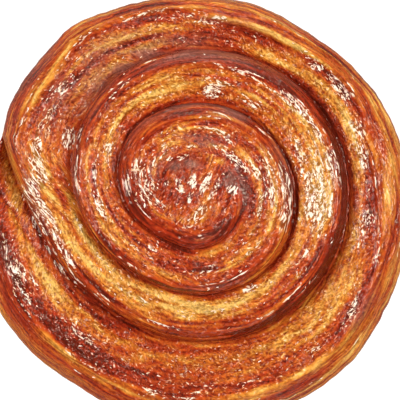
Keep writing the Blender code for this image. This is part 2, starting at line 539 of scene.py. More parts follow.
@dataclass(frozen=True)
class Knot:
    """The domed middle, where the strand ends in folds that no longer follow the coil."""

    sink: float = 1.1 * MM
    sink_reach: float = 10.0 * MM
    bead_size: float = 1.9 * MM
    bead_chance: float = 0.7
    bead_height: float = 0.4 * MM
    bend_size: float = 4.0 * MM
    ridge_spacing: float = 1.5 * MM
    ridge_length: float = 4.5 * MM
    ridge_height: float = 0.4 * MM
    ridge_heading: float = 68.0
    fold_width: float = 0.55 * MM
    fold_height: float = 0.5 * MM
    folds: tuple[Stops, ...] = (
        ((-0.4, 16.4), (1.0, 14.9), (7.4, 9.5)),
        ((0.2, 14.2), (-1.5, 13.6), (-3.4, 12.2)),
        ((4.6, 17.4), (9.8, 14.2), (13.2, 9.0)),
    )
    # Places on the dome with gloss and painted glints.
    gloss_and_glint_places: tuple[Spot, ...] = (
        Spot(-3.6, 6.2, 2.4, 1.1, 110.0, 0.9),
        Spot(-0.3, 7.3, 2.2, 1.2, 85.0, 1.0),
        Spot(-1.0, 3.2, 1.7, 0.8, 80.0, 0.9),
        Spot(2.8, 6.5, 3.6, 1.3, 62.0, 0.9),
        Spot(5.2, 5.2, 3.2, 1.1, 62.0, 0.8),
        Spot(-2.8, 13.3, 1.5, 0.6, 35.0, 1.0),
        Spot(-6.1, 12.9, 1.2, 0.5, 20.0, 0.9),
        Spot(-6.8, 6.8, 1.2, 0.8, 90.0, 0.7),
        Spot(-12.0, 6.0, 6.0, 2.6, 100.0, 0.7),
        Spot(-16.4, 8.0, 3.0, 0.7, 92.0, 1.0),
        Spot(-8.6, 1.4, 2.4, 1.4, 130.0, 0.6),
        Spot(1.6, -0.4, 3.6, 1.8, 45.0, 0.6),
        Spot(-1.6, -4.0, 2.0, 0.6, 10.0, 0.7),
        Spot(9.6, 5.2, 1.8, 1.6, 0.0, 0.8),
        Spot(10.6, 12.2, 5.6, 1.2, -42.0, 0.8),
        Spot(16.4, 1.4, 3.6, 0.7, 82.0, 0.9),
    )
    # Painted sheen on the dome, grey-mauve like a reflection of the pale room.
    mauve: tuple[Spot, ...] = (
        Spot(-4.8, 11.0, 2.0, 1.4, 0.0, 0.8),
        Spot(-0.6, 11.6, 2.6, 1.3, -10.0, 0.9),
        Spot(8.9, 7.8, 1.6, 2.4, 0.0, 0.6),
        Spot(3.2, 16.8, 3.0, 1.2, -10.0, 0.6),
    )
    tones: tuple[Spot, ...] = (
        Spot(-11.7, 16.4, 3.0, 2.0, 45.0, -0.2),
        Spot(-7.4, 8.3, 2.4, 0.9, 90.0, -0.25),
        Spot(-4.0, 3.0, 3.0, 1.8, 0.0, -0.22),
        Spot(2.2, 5.9, 3.0, 0.6, 68.0, -0.25),
        Spot(6.3, 4.9, 2.8, 0.8, 84.0, -0.28),
        Spot(9.2, 7.0, 3.4, 1.8, 110.0, -0.2),
        Spot(-13.2, 0.4, 4.0, 2.2, 120.0, -0.22),
        Spot(7.9, -4.4, 3.4, 2.0, 30.0, -0.24),
        Spot(-2.0, 14.0, 2.6, 1.0, 20.0, 0.16),
        Spot(4.2, 12.7, 4.6, 0.9, -28.0, 0.25),
        Spot(6.6, 12.3, 1.0, 0.8, 0.0, 0.3),
        Spot(-1.4, -1.2, 4.4, 2.2, 5.0, 0.16),
        Spot(-6.4, 17.6, 5.4, 1.6, 28.0, 0.16),
    )
    bubbly: float = 0.6

    def lie(self, height: Array, top: float, radius: Array, eye: Array) -> Array:
        """The coil's height, turned into one low dome in the eye."""
        dome = top - self.sink * (radius / self.sink_reach) ** 2
        return height + eye * (dome - height)

    def most(self, spots: tuple[Spot, ...], x: Array, y: Array) -> Array:
        """How much each place has of any of these spots."""
        return np.max([spot.weight(x, y) for spot in spots], axis=0)

    def total(self, spots: tuple[Spot, ...], x: Array, y: Array) -> Array:
        """What these spots come to at each place."""
        return np.sum([spot.weight(x, y) for spot in spots], axis=0)

    def relief(self, x: Array, y: Array) -> Array:
        """The dome's beads, its slanting ridges and its folds.

        Args:
            x: places along the first axis, in metres.
            y: places along the second axis, of the same shape.

        Returns:
            How far each place stands out of the dome.
        """
        right, up = heading(np.array(self.ridge_heading))
        ahead, aside = x * right + y * up, y * right - x * up
        bend = Grain(Seed.KNOT_BEND)(x / self.bend_size, y / self.bend_size)
        ridges = Grain(Seed.KNOT_RIDGES)(ahead / self.ridge_length, aside / self.ridge_spacing + bend)
        scattered = Blisters(Seed.KNOT_BEADS, self.bead_chance)
        beads = scattered(x / self.bead_size + bend, y / self.bead_size)
        total = self.ridge_height * ridges + self.bead_height * beads
        for line in self.folds:
            total = total + self.fold_height * self._beside(line, x, y)
        return total

    def _beside(self, line: Stops, x: Array, y: Array) -> Array:
        """How near each place is to a bent line.

        Args:
            line: the line's corners, in millimetres.
            x: places along the first axis, in metres.
            y: places along the second axis, of the same shape.

        Returns:
            0 far from the line, up to 1 on it.
        """
        nearest = np.full_like(x, np.inf)
        for (start_x, start_y), (end_x, end_y) in zip(line[:-1], line[1:]):
            run_x, run_y = end_x - start_x, end_y - start_y
            away_x, away_y = x / MM - start_x, y / MM - start_y
            share = np.clip((away_x * run_x + away_y * run_y) / (run_x**2 + run_y**2), 0.0, 1.0)
            nearest = np.minimum(nearest, np.hypot(away_x - share * run_x, away_y - share * run_y))
        return window(nearest * MM, 0.0, self.fold_width)


@dataclass(frozen=True)
class FineSeams:
    """The many fine seams between the layers, drawn at random. Their widths are in millimetres."""

    seed: Seed = Seed.FINE_SEAMS
    count: int = 150
    starts: tuple[float, float] = (168.0, 1440.0)
    lengths: tuple[float, float] = (14.0, 55.0)
    stretch: float = 0.35
    shares: tuple[float, float] = (0.06, 0.94)
    slide: float = 0.1
    bend: float = 0.03
    strengths: tuple[float, float] = (0.4, 1.0)
    widths: tuple[float, float] = (0.28, 0.5)
    depth: float = 0.22 * MM
    browning: float = 0.3

    def drawn(self, tip_angle: float) -> tuple[Seam, ...]:
        """Draws the seams, which get longer from turn to turn.

        Args:
            tip_angle: the angle at which the strand starts.

        Returns:
            The seams: dark grooves and pale lips.
        """
        draw = np.random.default_rng(self.seed.value)
        seams = []
        for _ in range(self.count):
            start = draw.uniform(*self.starts)
            turn = (start - tip_angle) / TURN
            length = draw.uniform(*self.lengths) * (1.0 + self.stretch * turn)
            share = draw.uniform(*self.shares)
            slide = draw.uniform(-self.slide, self.slide)
            bend = draw.uniform(-self.bend, self.bend)
            stops = (
                (start, share),
                (start + length / 2, share + slide / 2 + bend),
                (start + length, share + slide),
            )
            sign = draw.choice((-1.0, 1.0))
            strength = draw.uniform(*self.strengths)
            width = draw.uniform(*self.widths) * MM
            seams.append(Seam(stops, width, sign * self.depth * strength, -sign * self.browning * strength))
        return tuple(seams)


@dataclass(frozen=True)
class Folds:
    """The line where the strand's smooth outer skin folds over, and the seams beside it."""

    line: Stops = (
        (163.0, 0.50),
        (300.0, 0.46),
        (325.0, 0.50),
        (338.0, 0.56),
        (350.0, 0.64),
        (369.0, 0.70),
        (380.0, 0.67),
        (388.0, 0.55),
        (400.0, 0.51),
        (412.0, 0.535),
        (425.0, 0.64),
        (433.0, 0.65),
        (443.0, 0.61),
        (450.0, 0.48),
        (460.0, 0.43),
        (475.0, 0.375),
        (483.0, 0.43),
        (503.0, 0.53),
        (523.0, 0.40),
        (545.0, 0.28),
        (560.0, 0.38),
        (597.0, 0.42),
        (650.0, 0.42),
        (700.0, 0.45),
        (738.0, 0.30),
        (760.0, 0.36),
        (790.0, 0.46),
        (830.0, 0.42),
        (883.0, 0.40),
        (900.0, 0.30),
        (960.0, 0.32),
        (1000.0, 0.42),
        (1050.0, 0.36),
        (1150.0, 0.40),
        (1223.0, 0.48),
        (1243.0, 0.42),
        (1360.0, 0.45),
        (1600.0, 0.45),
    )
    seams: tuple[Seam, ...] = (
        Seam(((178, 0.65), (185, 0.82), (195, 0.88), (215, 0.915), (243, 0.88)), 0.6 * MM, 1.1 * MM, -0.35),
        Seam(
            (
                (390, 0.375), (410, 0.36), (419, 0.39), (429, 0.44),
                (438, 0.40), (448, 0.32), (473, 0.24), (490, 0.34),
            ),
            0.35 * MM,
            0.35 * MM,
            -0.3,
        ),
        Seam(((463, 0.77), (500, 0.76)), 0.45 * MM, 0.4 * MM, -0.45),
        Seam(((488, 0.36), (500, 0.44), (512, 0.47)), 0.3 * MM, -0.3 * MM, 0.3),
        Seam(((490, 0.60), (503, 0.66), (515, 0.70)), 0.3 * MM, -0.3 * MM, 0.3),
        Seam(((563, 0.42), (598, 0.42)), 0.35 * MM, 0.35 * MM, -0.4),
        Seam(((640, 0.52), (672, 0.50), (700, 0.50)), 0.35 * MM, 0.35 * MM, -0.35),
        Seam(((703, 0.60), (738, 0.44), (760, 0.50)), 0.35 * MM, -0.35 * MM, 0.3),
        Seam(((955, 0.60), (985, 0.65), (1010, 0.68)), 0.5 * MM, 0.35 * MM, -0.35),
        Seam(((1063, 0.78), (1100, 0.70), (1125, 0.73), (1160, 0.84)), 0.4 * MM, -0.4 * MM, 0.35),
        Seam(((1063, 0.64), (1090, 0.60), (1105, 0.55)), 0.35 * MM, -0.35 * MM, 0.3),
        Seam(((1170, 0.93), (1180, 0.83)), 0.4 * MM, -0.4 * MM, 0.3),
    )
    fine: FineSeams = FineSeams()
    inner_strength: float = 0.5
    drop: float = 0.5 * MM
    drop_width: float = 0.7 * MM
    drop_reach: float = 5.0 * MM
    lip: float = 0.3 * MM
    lip_at: float = -0.4 * MM
    glint: float = 0.7
    glint_at: float = -0.25 * MM
    glint_width: float = 0.35 * MM
    glint_length: float = 11.0 * MM
    glint_rows: float = 3.0
    glint_base: float = 0.45
    glint_swing: float = 1.6

    def fold_at(self, grid: StrandGrid) -> Array:
        """The share at which the fold runs."""
        return along_stops(grid.angle, self.line)

    def inside(self, grid: StrandGrid) -> Array:
        """How far inside the fold each place is, below zero on the outer skin."""
        return (grid.share - self.fold_at(grid)) * grid.width

    def place(self, grid: StrandGrid) -> Array:
        """The way across the strand, stretched so that the fold is always at a half.

        Args:
            grid: the strand's places.

        Returns:
            0 at the outer edge, 0.5 at the fold and 1 at the inner edge.
        """
        fold = self.fold_at(grid)
        skin = 0.5 * grid.share / fold
        slope = 0.5 + 0.5 * (grid.share - fold) / (1.0 - fold)
        return np.where(grid.share < fold, skin, slope)

    def all_seams(self) -> tuple[Seam, ...]:
        """The seams that were named and many finer ones that are drawn at random."""
        return self.seams + self.fine.drawn(self.line[0][0])

    def painted_glint_lines(self, grid: StrandGrid, seam_weights: SeamWeights) -> Array:
        """Painted glints where the edges that stand up along the strand would catch the light.

        Args:
            grid: the strand's places.
            seam_weights: each seam with its weight at each place.

        Returns:
            0 away from the edges, up to the glint's strength on them.
        """
        edge = window(self.inside(grid), self.glint_at, self.glint_width)
        for seam, weight in seam_weights:
            if seam.depth < 0.0:
                edge = np.maximum(edge, weight)
        lit = Grain(Seed.GLINTS)(grid.along / self.glint_length, self.glint_rows * grid.share)
        return self.glint * edge * smooth(self.glint_base + self.glint_swing * lit)

    def relief(self, grid: StrandGrid, seam_weights: SeamWeights) -> Array:
        """How far the folds and seams stand out.

        Args:
            grid: the strand's places.
            seam_weights: each seam with its weight at each place.

        Returns:
            Their height at each place, below zero where they are pressed in.
        """
        inside = self.inside(grid)
        first, second, third, _ = grid.turn_weights()
        strength = first + self.inner_strength * (second + third)
        fading = np.exp(-np.maximum(inside, 0.0) / self.drop_reach)
        step = -self.drop * smooth(inside / self.drop_width) * fading
        lip = self.lip * window(inside, self.lip_at, self.drop_width)
        total = strength * (step + lip)
        for seam, weight in seam_weights:
            total = total - seam.depth * weight
        return total


@dataclass(frozen=True)
class Browning:
    """Where the crust is dark or pale and bubbly, where it is glossy with painted glints, where it has
    painted sheen, and where painted shade darkens its grooves.
    """

    outer_turn: Stops = (
        (0.0, 0.38),
        (0.1, 0.42),
        (0.3, 0.43),
        (0.36, 0.36),
        (0.45, 0.50),
        (0.5, 0.42),
        (0.54, 0.29),
        (0.62, 0.36),
        (0.72, 0.58),
        (0.86, 0.60),
        (0.94, 0.48),
        (1.0, 0.38),
    )
    second_turn: Stops = (
        (0.0, 0.24),
        (0.3, 0.26),
        (0.42, 0.32),
        (0.5, 0.42),
        (0.62, 0.58),
        (0.76, 0.70),
        (0.86, 0.60),
        (0.93, 0.44),
        (1.0, 0.30),
    )
    third_turn: Stops = (
        (0.0, 0.30),
        (0.3, 0.34),
        (0.48, 0.44),
        (0.6, 0.50),
        (0.72, 0.44),
        (0.8, 0.34),
        (0.88, 0.42),
        (0.94, 0.36),
        (1.0, 0.30),
    )
    knot: Stops = ((0.0, 0.18), (0.35, 0.28), (0.6, 0.40), (0.85, 0.34), (1.0, 0.36))
    # Tone of the inner turns' outer walls and, below, of the grooves, along the strand: partly darker
    # caramel and partly painted shade that changes round the coil as the light falls.
    wall_tone_and_shade: Stops = (
        (523.0, 0.55),
        (560.0, 0.50),
        (600.0, 0.38),
        (640.0, 0.26),
        (690.0, 0.16),
        (735.0, 0.14),
        (770.0, 0.20),
        (800.0, 0.34),
        (850.0, 0.38),
        (880.0, 0.38),
        (940.0, 0.32),
        (1010.0, 0.32),
        (1060.0, 0.30),
        (1120.0, 0.34),
        (1180.0, 0.30),
        (1260.0, 0.16),
        (1340.0, 0.16),
        (1400.0, 0.26),
        (1450.0, 0.40),
    )
    groove_tone_and_shade: Stops = (
        (163.0, 0.50),
        (200.0, 0.46),
        (300.0, 0.46),
        (340.0, 0.28),
        (375.0, 0.16),
        (440.0, 0.22),
        (480.0, 0.40),
        (520.0, 0.34),
        (580.0, 0.34),
        (640.0, 0.28),
        (700.0, 0.18),
        (790.0, 0.18),
        (870.0, 0.26),
        (950.0, 0.16),
        (1000.0, 0.24),
        (1070.0, 0.40),
        (1180.0, 0.42),
        (1250.0, 0.40),
    )
    wall_share: float = 0.3
    groove_share: float = 0.12
    # Painted shade: a dark line along each edge of the strand, down in the groove.
    crease_shade_width: float = 0.35 * MM
    crease_shade: float = 0.12
    # Painted sheen: grey-mauve patches that stand in for the pale room's reflection on steep glazed walls;
    # the finish also makes them duller.
    mauve: tuple[Patch, ...] = rows_of(
        Patch,
        (475, 0.93, 26, 0.12, 0.9), (490, 0.72, 26, 0.16, 0.5), (508, 0.16, 16, 0.14, 0.5),
        (850, 0.25, 16, 0.14, 0.6), (324, 0.45, 8, 0.06, 0.6), (441, 0.6, 14, 0.05, 0.4),
        (818, 0.17, 40, 0.17, 0.9), (775, 0.1, 10, 0.12, 0.5), (894, 0.08, 14, 0.12, 0.6),
        (1156, 0.13, 54, 0.16, 1.3), (1095, 0.96, 30, 0.05, 0.6), (1172, 0.76, 22, 0.09, 0.45),
        (1222, 0.9, 26, 0.08, 0.4), (1370, 0.34, 28, 0.08, 0.5), (538, 0.1, 16, 0.12, 0.5),
    )
    # Places of gloss and painted glints: the finish makes the glaze glossier there and paints cream glints
    # into the crust's colour.
    gloss_and_glint_places: tuple[Patch, ...] = rows_of(
        Patch,
        (203, 0.62, 12, 0.13, 0.85), (232, 0.7, 18, 0.05, 0.6), (262, 0.62, 14, 0.06, 0.5),
        (197, 0.98, 22, 0.03, 0.8), (311, 0.62, 9, 0.08, 0.6), (329, 0.56, 12, 0.07, 1),
        (352, 0.76, 14, 0.14, 0.6), (374, 0.8, 6, 0.1, 0.8), (383, 0.74, 5, 0.08, 0.8),
        (396, 0.65, 5, 0.07, 0.8), (408, 0.67, 4, 0.06, 0.7), (384, 0.66, 12, 0.07, 0.6),
        (405, 0.6, 16, 0.1, 0.6), (352, 0.22, 26, 0.1, 0.4), (455, 0.6, 26, 0.16, 0.45),
        (504, 0.68, 20, 0.14, 0.55), (517, 0.94, 5, 0.07, 1), (368, 0.21, 7, 0.05, 0.9),
        (552, 0.23, 14, 0.08, 1.4), (574, 0.22, 9, 0.07, 0.7), (536, 0.4, 9, 0.1, 1.4),
        (542, 0.48, 12, 0.1, 1.2), (556, 0.38, 14, 0.1, 1.2), (530, 0.62, 12, 0.1, 0.9),
        (590, 0.34, 16, 0.06, 0.5), (632, 0.92, 4, 0.05, 0.9), (659, 0.9, 5, 0.06, 1),
        (658, 0.38, 7, 0.06, 0.6), (728, 0.32, 14, 0.07, 1), (718, 0.81, 12, 0.07, 1),
        (746, 0.44, 26, 0.06, 1.3), (720, 0.68, 20, 0.1, 0.9), (708, 0.57, 12, 0.08, 0.9),
        (722, 0.56, 30, 0.16, 0.7), (735, 0.8, 22, 0.1, 0.7), (690, 0.62, 12, 0.14, 0.6),
        (803, 0.78, 6, 0.18, 1), (780, 0.82, 10, 0.1, 0.6), (845, 0.45, 26, 0.06, 0.4),
        (876, 0.8, 8, 0.1, 0.9), (878, 0.19, 9, 0.09, 1.2), (894, 0.22, 11, 0.05, 0.9),
        (892, 0.7, 14, 0.11, 1.5), (906, 0.57, 10, 0.07, 1.1), (1036, 0.28, 6, 0.1, 0.6),
        (1082, 0.29, 24, 0.17, 1.1), (1090, 0.54, 26, 0.09, 1), (1096, 0.7, 26, 0.08, 0.8),
        (1180, 0.9, 8, 0.06, 0.5), (1240, 0.6, 12, 0.2, 0.8), (1250, 0.8, 14, 0.16, 1),
        (1254, 0.32, 8, 0.08, 1), (1352, 0.4, 8, 0.07, 0.8), (1364, 0.57, 18, 0.08, 1),
        (1400, 0.68, 16, 0.08, 0.9), (1360, 0.86, 50, 0.1, 0.7), (1434, 0.26, 18, 0.14, 0.7),
    )
    # Paler and browner patches of the crust's tone. Some are painted light: paler patches on the rim's
    # outer edge brighten it where the lamps leave it dim, and browner ones in the grooves are painted
    # shade.
    patches: tuple[Patch, ...] = rows_of(
        Patch,
        (220, 0.84, 26, 0.07, 0.25), (214, 0.6, 30, 0.13, -0.28), (262, 0.56, 38, 0.09, -0.28),
        (226, 0.44, 7, 0.06, 0.25), (252, 0.47, 11, 0.07, 0.25), (293, 0.49, 18, 0.06, 0.25),
        (234, 0.31, 9, 0.03, -0.3), (296, 0.31, 8, 0.06, -0.3), (275, 0.84, 32, 0.09, 0.15),
        (325, 0.8, 21, 0.15, 0.15), (359, 0.83, 10, 0.13, -0.4), (361, 0.5, 9, 0.09, 0.2),
        (396, 0.8, 32, 0.1, 0.12), (393, 0.97, 22, 0.06, -0.4), (403, 0.58, 12, 0.05, -0.3),
        (415, 0.26, 24, 0.1, 0.08), (432, 0.5, 16, 0.1, -0.04), (427, 0.9, 8, 0.08, 0.2),
        (450, 0.82, 13, 0.12, -0.3), (477, 0.63, 24, 0.12, 0.12), (478, 0.9, 16, 0.09, 0.05),
        (572, 0.68, 26, 0.15, 0.12), (538, 0.84, 9, 0.09, -0.3), (614, 0.15, 34, 0.14, 0.12),
        (670, 0.5, 34, 0.08, -0.15), (720, 0.62, 20, 0.16, 0.15), (795, 0.72, 8, 0.1, -0.25),
        (845, 0.76, 18, 0.12, 0.15), (810, 0.15, 44, 0.12, 0.08), (885, 0.48, 9, 0.1, 0.15),
        (972, 0.46, 12, 0.1, 0.16), (982, 0.72, 20, 0.07, -0.22), (965, 0.95, 18, 0.04, -0.25),
        (1017, 0.7, 14, 0.06, 0.25), (1025, 0.94, 34, 0.04, 0.2), (1170, 0.58, 34, 0.09, 0.12),
        (1166, 0.73, 18, 0.07, -0.15), (1230, 0.55, 16, 0.1, 0.1), (262, 0.82, 46, 0.18, -0.12),
        (245, 0.55, 50, 0.12, 0.08), (375, 0.2, 44, 0.24, 0.18), (290, 0.16, 40, 0.2, 0.1),
        (208, 0.08, 18, 0.14, 0.25), (206, 0.97, 30, 0.04, -0.22), (577, 0.07, 26, 0.11, -0.3),
        (178, 0.92, 12, 0.1, 0.22), (298, 0.58, 14, 0.08, 0.14), (314, 0.08, 32, 0.14, 0.1),
        (328, 0.28, 18, 0.14, 0.14), (345, 0.93, 30, 0.08, 0.13), (388, 0.74, 18, 0.22, 0.1),
        (460, 0.06, 26, 0.1, 0.22), (508, 0.75, 16, 0.1, -0.16), (630, 0.55, 40, 0.3, 0.06),
        (606, 0.88, 62, 0.11, 0.32), (658, 0.22, 14, 0.08, -0.16), (553, 0.92, 18, 0.08, 0.14),
        (668, 0.88, 26, 0.11, 0.28), (674, 0.44, 18, 0.08, 0.14), (718, 0.2, 56, 0.12, -0.4),
        (778, 0.32, 14, 0.14, -0.28), (725, 0.7, 30, 0.3, 0.06), (660, 0.1, 44, 0.16, -0.14),
        (770, 0.74, 18, 0.1, -0.12), (806, 0.41, 36, 0.09, -0.16), (860, 0.58, 18, 0.08, 0.15),
        (922, 0.74, 38, 0.18, 0.2), (948, 0.27, 46, 0.14, -0.42), (1108, 0.18, 14, 0.09, 0.16),
        (955, 0.93, 24, 0.07, 0.18), (1035, 0.42, 24, 0.08, -0.14), (1018, 0.16, 30, 0.14, -0.1),
        (1138, 0.25, 14, 0.1, -0.18), (1150, 0.64, 28, 0.16, -0.18), (868, 0.84, 12, 0.1, 0.2),
        (372, 0.85, 36, 0.12, 0.13), (210, 0.83, 32, 0.1, 0.14), (270, 0.8, 16, 0.16, -0.14),
        (448, 0.66, 12, 0.08, 0.14), (474, 0.5, 14, 0.08, -0.14),
    )
    groove_closes: tuple[float, float] = (1375.0, 1440.0)
    closed_toast: float = 0.36
    wander: float = 0.16
    wander_length: float = 26.0 * MM
    wander_width: float = 5.0 * MM
    closing_share: float = 0.4
    bubbly_run_in: float = 2.0 * MM
    bubbly_head_start: float = 0.3
    bubbly_length: float = 18.0 * MM
    bubbly_width: float = 9.0 * MM
    least_bubbly: float = 0.12
    steady_bubbly: float = 0.45
    smooth_edge: float = 0.12
    edge_length: float = 7.0 * MM
    edge_width: float = 3.0 * MM
    edge_base: float = 0.75
    edge_swing: float = 0.9

    def toast(self, grid: StrandGrid, folds: Folds, seam_weights: SeamWeights) -> Array:
        """How pale the crust is, with painted shade in its grooves and creases.

        Args:
            grid: the strand's places.
            folds: the fold, which the pattern follows.
            seam_weights: each seam with its weight at each place.

        Returns:
            0 where the crust is dark caramel, 1 where it is pale gold.
        """
        place = folds.place(grid)
        profiles = (self.outer_turn, self.second_turn, self.third_turn, self.knot)
        toast = np.zeros_like(place)
        weights = grid.turn_weights()
        for weight, profile in zip(weights, profiles):
            toast = toast + weight * along_stops(place, profile)
        # Walls and grooves take their tone and painted shade from the tables along the strand.
        wall = (1.0 - weights[0]) * (1.0 - smooth(grid.share / self.wall_share))
        toast = toast + wall * (along_stops(grid.angle, self.wall_tone_and_shade) - toast)
        groove = smooth((grid.share - 1.0) / self.groove_share + 1.0)
        toast = toast + groove * (along_stops(grid.angle, self.groove_tone_and_shade) - toast)
        # Painted shade along the strand's edges in the grooves.
        crease_shade_line = window(grid.radius - grid.inner, 0.0, self.crease_shade_width)
        crease_shade_line = crease_shade_line + (1.0 - weights[0]) * window(grid.across, 0.0, self.crease_shade_width)
        toast = toast - self.crease_shade * crease_shade_line
        closed = self.closed(grid)
        toast = toast * (1.0 - closed) + self.closed_toast * closed
        for patch in self.patches:
            toast = toast + patch.change * patch.weight(grid)
        for seam, weight in seam_weights:
            toast = toast + seam.browning * weight * (1.0 - grid.in_the_eye())
        drift = Grain(Seed.TOAST_DRIFT)(grid.along / self.wander_length, grid.across / self.wander_width)
        return toast + self.wander * drift

    def closed(self, grid: StrandGrid) -> Array:
        """How far the groove beside each place has closed towards the knot.

        Args:
            grid: the strand's places.

        Returns:
            0 beside an open groove, 1 where it has closed and in the eye.
        """
        start, end = self.groove_closes
        outer_side = smooth(1.0 - grid.share / self.closing_share)
        inner_side = smooth((grid.share - (1.0 - self.closing_share)) / self.closing_share)
        outer_closed = smooth((grid.angle - start) / (end - start)) * outer_side
        inner_closed = smooth((grid.angle + TURN - start) / (end - start)) * inner_side
        return np.maximum(np.maximum(outer_closed, inner_closed), grid.in_the_eye())

    def bubbly(self, grid: StrandGrid, folds: Folds) -> Array:
        """Where the surface is blistered and wrinkled: inside the fold, and less so outside it.

        Args:
            grid: the strand's places.
            folds: the fold.

        Returns:
            0 where it is smooth, up to 1 where it is all bubbles.
        """
        inside = smooth(folds.inside(grid) / self.bubbly_run_in + self.bubbly_head_start)
        drift = Grain(Seed.BUBBLY_DRIFT)(grid.along / self.bubbly_length, grid.across / self.bubbly_width)
        inside = self.least_bubbly + (1.0 - self.least_bubbly) * inside
        slow = self.steady_bubbly + (1.0 - self.steady_bubbly) * (0.5 + 0.5 * drift)
        return inside * slow * smooth((1.0 - grid.share) / self.smooth_edge)

    def spread(self, grid: StrandGrid, patches: tuple[Patch, ...], seed: Seed) -> Array:
        """How much each place has of any of these patches, whose edges wander a little.

        Args:
            grid: the strand's places.
            patches: the patches, whose change is their strength here.
            seed: which draw their edges follow.

        Returns:
            The strongest patch's strength at each place.
        """
        wander = Grain(seed)(grid.along / self.edge_length, grid.across / self.edge_width)
        most = np.zeros_like(grid.share)
        for patch in patches:
            most = np.maximum(most, patch.change * patch.weight(grid))
        return most * smooth(self.edge_base + self.edge_swing * wander)


@dataclass(frozen=True)
class Relief:
    """What stands out of the plain strand: layers, blisters, wrinkles and the rim's ruffle."""

    layers_across: float = 10.0
    layer_step: float = 0.26 * MM
    layer_wander: float = 1.2
    layer_stretch: float = 30.0 * MM
    layer_warp_rows: float = 4.0
    layer_length: float = 12.0 * MM
    layer_apart: float = 3.7
    layers_lost: float = 0.5
    ledge_start: float = 0.45
    cord_length: float = 16.0 * MM
    cord_width: float = 1.3 * MM
    cord_height: float = 0.24 * MM
    cord_bend_length: float = 9.0 * MM
    cord_bend_width: float = 4.0 * MM
    blister_size: float = 2.6 * MM
    blister_chance: float = 0.6
    blister_height: float = 0.42 * MM
    bead_size: float = 1.6 * MM
    bead_chance: float = 0.75
    bead_height: float = 0.26 * MM
    wrinkle_spacing: float = 1.5 * MM
    wrinkle_reach: float = 2.2 * MM
    wrinkle_height: float = 0.26 * MM
    bend: float = 1.6 * MM
    bend_size: float = 3.0 * MM
    full_width: float = 8.0 * MM
    ruffle: float = 0.35 * MM
    ruffle_waves: float = 9.0
    quick_ruffle_waves: float = 27.0
    ruffle_offset: float = 3.0
    ruffle_start: float = 0.86
    slow_ruffle: float = 0.6
    quick_ruffle: float = 0.4
    edge_power: int = 8
    pit: tuple[float, float] = (506.0, 0.93)
    pit_size: float = 1.7 * MM
    pit_stretch: float = 2.0
    pit_power: float = 3.0
    pit_depth: float = 1.6 * MM

    def height(
        self, grid: StrandGrid, folds: Folds, bubbly: Array, seam_weights: SeamWeights
    ) -> Array:
        """How far each place stands out of the strand's plain form.

        Args:
            grid: the strand's places.
            folds: the fold and its seams.
            bubbly: how blistered each place is.
            seam_weights: each seam with its weight at each place.

        Returns:
            The relief, which dies out at the strand's edges and ends.
        """
        layered = (self._layers(grid) + self._cords(grid)) * (1.0 - self.layers_lost * bubbly)
        relief = folds.relief(grid, seam_weights) + layered
        relief = relief + bubbly * (self._blisters(grid) + self._wrinkles(grid)) - self._pit(grid)
        fullness = smooth(np.minimum(grid.width, grid.radius) / self.full_width)
        return relief * fullness * (1.0 - (2.0 * grid.share - 1.0) ** self.edge_power)

    def _layers(self, grid: StrandGrid) -> Array:
        """Low terraces along the strand, where one layer of dough ends on the next.

        Args:
            grid: the strand's places.

        Returns:
            The terraces' height at each place.
        """
        warp = Grain(Seed.LAYER_WARP)(grid.along / self.layer_stretch, self.layer_warp_rows * grid.share)
        phase = self.layers_across * grid.share + self.layer_wander * warp
        layer = np.floor(phase)
        ledge = smooth((phase - layer - self.ledge_start) / (1.0 - self.ledge_start))
        drift = Grain(Seed.LAYER_STRENGTH)(grid.along / self.layer_length, self.layer_apart * layer)
        return self.layer_step * (0.5 + 0.5 * drift) * (0.5 - ledge)

    def _cords(self, grid: StrandGrid) -> Array:
        """Thin ridges along the strand, with sharp backs, that wander and end.

        Args:
            grid: the strand's places.

        Returns:
            The ridges' height at each place.
        """
        slow = Grain(Seed.CORD_BEND)(grid.along / self.cord_bend_length, grid.across / self.cord_bend_width)
        ridge = Grain(Seed.CORDS)(grid.along / self.cord_length, grid.across / self.cord_width + slow)
        return self.cord_height * (1.0 - 2.0 * np.abs(ridge))

    def _blisters(self, grid: StrandGrid) -> Array:
        """Bubbles of two sizes.

        Args:
            grid: the strand's places.

        Returns:
            The bubbles' height at each place.
        """
        along, across = self._bent(grid)
        scattered = Blisters(Seed.LARGE_BLISTERS, self.blister_chance)
        large = scattered(along / self.blister_size, across / self.blister_size)
        scattered = Blisters(Seed.SMALL_BLISTERS, self.bead_chance)
        small = scattered(along / self.bead_size, across / self.bead_size)
        return self.blister_height * large + self.bead_height * small

    def _wrinkles(self, grid: StrandGrid) -> Array:
        """Short wrinkles that run across the strand.

        Args:
            grid: the strand's places.

        Returns:
            The wrinkles' height at each place.
        """
        along, across = self._bent(grid)
        wrinkles = Grain(Seed.WRINKLES)
        return self.wrinkle_height * wrinkles(along / self.wrinkle_spacing, across / self.wrinkle_reach)

    def _bent(self, grid: StrandGrid) -> tuple[Array, Array]:
        """The strand's places, bent so that bubbles and wrinkles aren't in rows.

        Args:
            grid: the strand's places.

        Returns:
            How far along and how far across the strand they are then.
        """
        size = self.bend_size
        sideways = Grain(Seed.SIDEWAYS_BEND)(grid.along / size, grid.across / size)
        inwards = Grain(Seed.INWARD_BEND)(grid.along / size, grid.across / size)
        return grid.along + self.bend * sideways, grid.across + self.bend * inwards

    def _pit(self, grid: StrandGrid) -> Array:
        """The dark hole beside the first groove.

        Args:
            grid: the strand's places.

        Returns:
            The hole's depth at each place.
        """
        ahead = np.radians(grid.angle - self.pit[0]) * grid.radius
        away = (grid.share - self.pit[1]) * grid.width
        far = np.hypot(ahead / self.pit_stretch, away)
        return self.pit_depth * window(far, 0.0, self.pit_size, self.pit_power)

